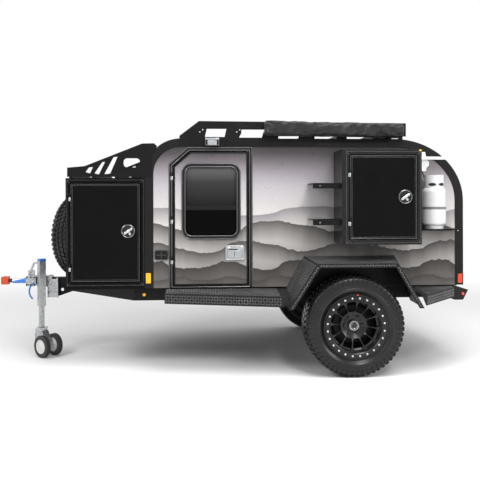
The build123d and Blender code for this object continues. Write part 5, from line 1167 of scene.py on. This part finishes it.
def tread_point(line, lift, angle, u, v, out, centre):
    """Point over the carcass: a length along its cross-section from the crown, lifted along that line's normal,
    and turned by an angle about the axle."""
    shape = np.array(SIDE_LINE)
    step = np.diff(shape, axis=0)
    length = np.concatenate([[0], np.cumsum(np.hypot(step[:, 0], step[:, 1]))])
    aim = np.gradient(shape, length, axis=0)
    sign, s = np.where(line < 0, -1.0, 1.0), np.abs(line)
    aim_h, aim_r = np.interp(s, length, aim[:, 0]), np.interp(s, length, aim[:, 1])
    height = np.interp(s, length, shape[:, 0]) - lift * aim_r
    radius = np.interp(s, length, shape[:, 1]) + lift * aim_h
    ring = np.cos(angle)[..., None] * u + np.sin(angle)[..., None] * v
    return centre + radius[..., None] * ring + (sign * height)[..., None] * out


def tread_blocks(outline, shift, height, flip, u, v, out, centre):
    """One column of blocks: rings of the outline at (scale, lift) of (1.06, -0.002), (1, 0.88 h), (0.93, h), (0, h)."""
    outline = np.asarray(outline, float)
    middle = outline.mean(0)
    scale = np.array([1.06, 1.0, 0.93, 0.001])[:, None, None]
    lift = np.repeat(np.array([-0.002, 0.88, 1.0, 1.0]) * (1, height, height, height), len(outline))
    rings = (middle + scale * (outline - middle)).reshape(-1, 2)
    number = np.arange(PITCHES)[:, None]
    angle = (rings[:, 1] + shift + (0.5 if flip else 0.0) + number) * math.tau / PITCHES
    line = np.broadcast_to(rings[:, 0] * (-1 if flip else 1), angle.shape)
    points = tread_point(line, np.broadcast_to(lift, angle.shape), angle, u, v, out, centre)
    quads = grid(4, len(outline), wrap_columns=True)
    return points.reshape(-1, 3), (quads + len(rings) * number[..., None]).reshape(-1, 4)


def turned_ring(section, centre, u, v, steps):
    """Closed ring: a closed section of (radius, height) turned a full circle about the axis u x v."""
    return lathe(section, centre, u, v, steps)[0], grid(len(section), steps, wrap_rows=True, wrap_columns=True)


def tyre_parts(centre, u, v):
    """Carcass turned from its half-section and the mirror of it, and seven columns of tread and shoulder blocks."""
    u, v = np.asarray(u, float), np.asarray(v, float)
    out = np.cross(u, v)
    half = np.array(CARCASS)
    parts = [turned_ring(np.concatenate([half, half[::-1] * (1, -1)]), centre, u, v, 112)]
    for outline, shift, height in TREAD:
        for flip in ((False,) if shift == 0.0 else (False, True)):
            parts.append(tread_blocks(outline, shift, height, flip, u, v, out, centre))
    return parts


def rim_parts(centre, u, v):
    """Barrel, hub disc and outer ring turned from closed sections, with twelve spokes between them."""
    parts = [turned_ring(section, centre, u, v, 120) for section in (BARREL, HUB_DISC, WINDOW_RING)]
    line = np.array(SPOKE_LINE)
    t = np.linspace(0, 1, 12)
    share = np.linspace(0, 1, len(line))
    radius, height = np.interp(t, share, line[:, 0]), np.interp(t, share, line[:, 1])
    at_hub = np.clip((0.128 - radius) / 0.022, 0, 1) ** 2
    at_ring = np.clip((radius - 0.155) / 0.046, 0, 1) ** 2
    wide = SPOKE_HALF + SPOKE_FLARE[0] * at_hub + SPOKE_FLARE[1] * at_ring
    section = np.array(SPOKE_SECTION)
    across = section[None, :, 0] * wide[:, None] + section[None, :, 1]
    over = height[:, None] + section[None, :, 2]
    angle = ((np.arange(12) + 0.8) * math.tau / 12)[:, None, None]
    flat_u = radius[:, None] * np.cos(angle) - across * np.sin(angle)
    flat_v = radius[:, None] * np.sin(angle) + across * np.cos(angle)
    over = np.broadcast_to(over, flat_u.shape)
    points = centre + flat_u[..., None] * u + flat_v[..., None] * v + over[..., None] * np.cross(u, v)
    quads = grid(12, 6, wrap_columns=True)
    ends = np.array([(0, 1, 2, 5), (2, 3, 4, 5)])
    quads = np.concatenate([quads, ends, ends + 66])
    parts.append((points.reshape(-1, 3), (quads + 72 * np.arange(12)[:, None, None]).reshape(-1, 4)))
    return parts


def dress_rim(name, body, centre, u, v, cap):
    """Rim with its outer ring and 24 bolts, brake drum and dust cap, all turned on the axis u x v."""
    u, v, centre = (np.asarray(each, float) for each in (u, v, centre))
    out = np.cross(u, v)
    turn = (np.arange(24) + 0.5) / 24 * math.tau
    ring = np.cos(turn)[:, None] * u + np.sin(turn)[:, None] * v
    wheel = make_piece(f"{name}_casting", body, rim_parts(centre, u, v), RIM_BLACK)
    make_piece(f"{name}_ring", body, [lathe(RING, centre, u, v, 120)], RIM_BLACK)
    bolts = centre + RING_BOLTS[0] * ring + RING_BOLTS[1] * out
    make_piece(f"{name}_bolts", body, [heads(bolts, out, 0.0082, 0.0042)], ZINC)
    make_piece(f"{name}_drum", body, [lathe(profile, centre, u, v, 64) for profile in (DRUM, BACKING_PLATE)], CAST_IRON_PAINTED_SHADE)
    if cap:
        make_piece(f"{name}_cap", body, [lathe(DUST_CAP, centre, u, v, 48)], CHROME)
        # The cap's rings and middle are in dark-painted chrome: painted shade in the cap's grooves and centre.
        make_piece(f"{name}_cap_rings", body, [
            lathe(CAP_RING, centre, u, v, 48), lathe(CAP_MIDDLE, centre, u, v, 32),
        ], CHROME_PAINTED_SHADE_AND_REFLECTION)
    return wheel


give(TYRE_RUBBER, "tyre_left", "tyre_right", "spare_tyre")
give(RIM_BLACK, "rim_left", "rim_right", "spare_rim", "hub_left", "hub_right")
give(SATIN_BLACK, "spare_carrier", "axle")
soften(0.0010, "hub_left", "hub_right", "spare_carrier", "axle")
for side, name in ((-1, "left"), (1, "right")):
    centre = np.array((WHEEL_CENTRE[0], side * WHEEL_CENTRE[1], WHEEL_CENTRE[2]))
    u, v = ((1.0, 0, 0), (0, 0, 1.0)) if side < 0 else ((0, 0, 1.0), (1.0, 0, 0))
    tyre = make_piece(f"tread_{name}", f"wheel_{name}", tyre_parts(centre, u, v), TYRE_RUBBER)
    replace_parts(tyre, f"tyre_{name}")
    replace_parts(dress_rim(f"wheel_{name}", f"wheel_{name}", centre, u, v, True), f"rim_{name}")
    make_piece(f"balance_dot_{name}", f"wheel_{name}", [
        lathe([(0.0, 0.1258), (0.0055, 0.1256), (0.0060, 0.1225)],
              centre + 0.2575 * np.array((0.058, 0, 0.998)), u, v, 16),
    ], RED_LENS)
spare_u, spare_v = np.array((0.0, 0.0, 1.0)), np.cross(SPARE_OUT, (0.0, 0.0, 1.0))
spare = make_piece("tread_spare", "trailer", tyre_parts(np.array(SPARE_CENTRE), spare_u, spare_v), TYRE_RUBBER)
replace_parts(spare, "spare_tyre")
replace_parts(dress_rim("spare", "trailer", SPARE_CENTRE, spare_u, spare_v, False), "spare_rim")

# ---------------------------------------------------------------- chassis and jack
# Welded steel in satin black; the jack is hot-dip galvanised, with a spangle of zinc crystals, a blue cap and
# crank grip, and two solid rubber wheels with white pressed discs.
JACK_X, JACK_Y = -1.6935, -0.088
JACK_TURN = 35.0
CASTER_CENTRE = np.array((-1.6180, -0.1536, 0.100))
CASTER_ACROSS = np.array((0.65606, 0.75471, 0.0))
CASTER_RADIUS = 0.100
CASTER_OUT = 0.066                  # from the middle of the pair to each wheel
NECK_START = (-2.0145, -2.0125)     # x over which the coupling's paint turns from orange-red to black
STRIPE_SLOPE = -0.24
STRIPE_EDGE = (1.1495, 1.1505)
GRIP_CORNERS = (
    (-1.790, -0.052, 0.648), (-1.806, -0.056, 0.622), (-1.814, -0.058, 0.585), (-1.806, -0.058, 0.545),
    (-1.784, -0.056, 0.512))
GRIP_NECK = ((-1.790, -0.052, 0.646), (-1.775, -0.045, 0.662), (-1.760, -0.032, 0.668))
BRACKET_PARTS = (
    # x, z, rings of size and height
    ((-1.6500, -1.5480), (0.5250, 0.6950), [(1, -0.002), (1, 0.0030), (0.985, 0.0036), (0.001, 0.0036)]),
    ((-1.5620, -1.5480), (0.5250, 0.7060), [(1, 0.0020), (1, 0.0300), (0.96, 0.0310), (0.001, 0.0310)]),
    ((-1.6480, -1.5600), (0.5600, 0.5740), [(1, 0.0020), (1, 0.0150), (0.93, 0.0170), (0.001, 0.0170)]),
    ((-1.6480, -1.5600), (0.6620, 0.6760), [(1, 0.0020), (1, 0.0150), (0.93, 0.0170), (0.001, 0.0170)]),
)
BLUE_PLASTIC = coated("blue_moulded_plastic", "#2878cf", 0.34, 90.0, 0.1, worn="#1d5a9c", wear=0.3)
GREY_RUBBER = coated("grey_black_rubber", "#3a3a3a", 0.66, 110.0, 0.3, specular=0.3, worn="#565552", wear=0.5)


def galvanised(name, pale, deep, roughness):
    """Hot-dip galvanised steel: zinc spangle of 12 mm crystals, drawn as cells of slightly different grey."""
    material, tree = new_tree(name)
    place = add_node(tree, "TexCoord").outputs["Object"]
    cells = add_node(tree, "TexVoronoi", {"Vector": place, "Scale": 85.0, "Randomness": 1.0}).outputs["Color"]
    share = add_node(tree, "SeparateXYZ", {"Vector": cells}).outputs["X"]
    colour = add_node(tree, "Mix", {0: share, 6: linear(deep), 7: linear(pale)}, data_type="RGBA").outputs[2]
    gloss = add_node(tree, "MapRange", {
        "Value": share, "To Min": roughness - 0.06, "To Max": roughness + 0.08,
    }).outputs["Result"]
    surface = add_node(tree, "BsdfPrincipled", {
        "Base Color": colour, "Metallic": 0.75, "Roughness": gloss, "Normal": film_bump(tree, place, 60.0, 0.2),
    })
    add_node(tree, "OutputMaterial", {"Surface": surface.outputs["BSDF"]})
    return material


def coupling_paint():
    """Articulated coupling: the catch in orange-red enamel, the neck behind it in black oxide."""
    material, tree = new_tree("orange_red_enamel")
    place = add_node(tree, "TexCoord").outputs["Object"]
    along = add_node(tree, "SeparateXYZ", {"Vector": place}).outputs["X"]
    behind = add_node(tree, "MapRange", {
        "Value": along, "From Min": NECK_START[0], "From Max": NECK_START[1],
    }).outputs["Result"]
    colour = add_node(tree, "Mix", {0: behind, 6: linear("#c9401f"), 7: linear("#151515")}, data_type="RGBA").outputs[2]
    surface = add_node(tree, "BsdfPrincipled", {
        "Base Color": colour, "Roughness": 0.34, "Coat Weight": 0.2, "Normal": film_bump(tree, place, 120.0, 0.15),
    })
    add_node(tree, "OutputMaterial", {"Surface": surface.outputs["BSDF"]})
    return material


def striped_sleeve():
    """Blue enamelled sleeve with one pale slanting stripe along it."""
    material, tree = new_tree("blue_enamel")
    place = add_node(tree, "TexCoord").outputs["Object"]
    split = add_node(tree, "SeparateXYZ", {"Vector": place})
    slant = add_node(tree, "Math", {
        0: split.outputs["X"], 1: STRIPE_SLOPE, 2: split.outputs["Z"],
    }, operation="MULTIPLY_ADD").outputs["Value"]
    above = add_node(tree, "MapRange", {
        "Value": slant, "From Min": STRIPE_EDGE[0], "From Max": STRIPE_EDGE[1],
    }).outputs["Result"]
    colour = add_node(tree, "Mix", {0: above, 6: linear("#2b7bd4"), 7: linear("#d9dde0")}, data_type="RGBA").outputs[2]
    surface = add_node(tree, "BsdfPrincipled", {
        "Base Color": colour, "Roughness": 0.28, "Coat Weight": 0.3, "Normal": film_bump(tree, place, 80.0, 0.1),
    })
    add_node(tree, "OutputMaterial", {"Surface": surface.outputs["BSDF"]})
    return material


GALVANISED = galvanised("hot_dip_galvanised_steel", "#c2c4c5", "#9a9c9e", 0.36)
give(SATIN_BLACK, "chassis_frame", "hatch_handle")
give(GALVANISED, "jack_column", "jack_leg", "jack_fork", "coupler_block", "hand_brake")
give(coupling_paint(), "coupler_head")
give(striped_sleeve(), "coupler_sleeve")
soften(0.0025, "chassis_frame", "jack_fork")
soften(0.0015, "coupler_head", "coupler_block", "hand_brake", "hatch_handle")


def upright(outline, turn_degrees, spot, heights):
    """Closed upright bar: a flat outline turned about its middle, as rings of (scale, height)."""
    flat = turned_outline(outline, spot, turn_degrees)
    return bar(flat, heights, lambda x, y, h: np.stack([x, y, h], 1))


make_piece("jack_cap", "trailer", [
    upright(rounded((-0.031, 0.031), (-0.031, 0.031), 0.006, 4), JACK_TURN, (JACK_X, JACK_Y),
            [(0.97, 0.868), (1, 0.869), (1, 0.886), (0.96, 0.8898), (0.001, 0.8900)]),
], BLUE_PLASTIC)
make_piece("jack_crank_grip", "trailer", [
    tube(smooth_path(GRIP_CORNERS), 0.0075, 14),
    tube(smooth_path(GRIP_NECK), 0.005, 10),
], BLUE_PLASTIC)
make_piece("clamp_bolts", "trailer", [
    heads([(x, -0.0445, z) for x in (-1.705, -1.655, -1.625) for z in (0.655, 0.705)], (0, -1, 0), 0.009, 0.007, 6),
    heads([(x, y, 0.7240) for x in (-1.700, -1.630) for y in (-0.022, 0.022)], (0, 0, 1), 0.008, 0.006, 6),
], ZINC)
make_piece("block_bolts", "trailer", [
    heads([(x, -0.056, z) for x in (-1.838, -1.803, -1.769) for z in (0.644, 0.712)], (0, -1, 0), 0.0075, 0.005, 8),
], SATIN_BLACK)

# Mounting bracket behind the column: a galvanised plate under the tongue with a folded flange, ribs and bolts.
make_piece("jack_bracket", "trailer", [
    bar(ring_of(x_range, z_range), heights, on_side(-1, 0.044)) for x_range, z_range, heights in BRACKET_PARTS
], GALVANISED)
make_piece("bracket_bolts", "trailer", [
    heads([(x, -0.0476, z) for x in (-1.632, -1.604, -1.578) for z in (0.598, 0.636)], (0, -1, 0), 0.0085, 0.007, 6),
    heads([(-1.555, -0.0750, z) for z in (0.550, 0.615, 0.680)], (0, -1, 0), 0.0060, 0.004, 6),
], ZINC)

# Solid rubber tyre in section, from one face to the other: two sidewalls and seven ribs.
rib = np.linspace(-0.018, 0.018, 43)
crown = CASTER_RADIUS - 0.0004 - 0.0032 * (np.cos(rib / 0.036 * math.tau * 7) < -0.2)
wall = np.array([(0.064, -0.0215), (0.088, -0.0220), (0.0965, -0.0200)])
tyre_line = np.concatenate([wall, np.stack([crown, rib], 1), wall[::-1] * (1, -1)])
disc_line = [
    (0.0645, 0.0205), (0.060, 0.0216), (0.056, 0.0175), (0.040, 0.0165), (0.034, 0.0195), (0.020, 0.0205),
    (0.018, 0.0218), (0.0, 0.0220)]
caster_u = np.array((0.0, 0.0, 1.0))
caster_v = np.cross(CASTER_ACROSS, caster_u)
turn = np.arange(5) / 5 * math.tau
ring = np.cos(turn)[:, None] * caster_u + np.sin(turn)[:, None] * caster_v
rubber_parts, disc_parts, bolt_parts = [], [], []
for side in (-1, 1):
    middle = CASTER_CENTRE + side * CASTER_OUT * CASTER_ACROSS
    rubber_parts.append(turned_ring(tyre_line, middle, caster_u, caster_v, 72))
    disc_parts += [lathe(disc_line, middle, caster_u, caster_v * face, 48) for face in (-1, 1)]
    bolt_parts.append(heads(middle + 0.048 * ring + side * 0.0170 * CASTER_ACROSS, side * CASTER_ACROSS, 0.0045, 0.003))
caster_tyres = make_piece("caster_tyres", "jack_wheels", rubber_parts, GREY_RUBBER)
make_piece("caster_discs", "jack_wheels", disc_parts, WHITE_PAINT)
make_piece("caster_bolts", "jack_wheels", bolt_parts, ZINC)
make_piece("caster_axle", "jack_wheels", [
    lathe([(0.0, -0.087), (0.0078, -0.087), (0.0078, 0.087), (0.0, 0.087)], CASTER_CENTRE, caster_u, caster_v, 20),
], ZINC)
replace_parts(caster_tyres, "jack_wheels")
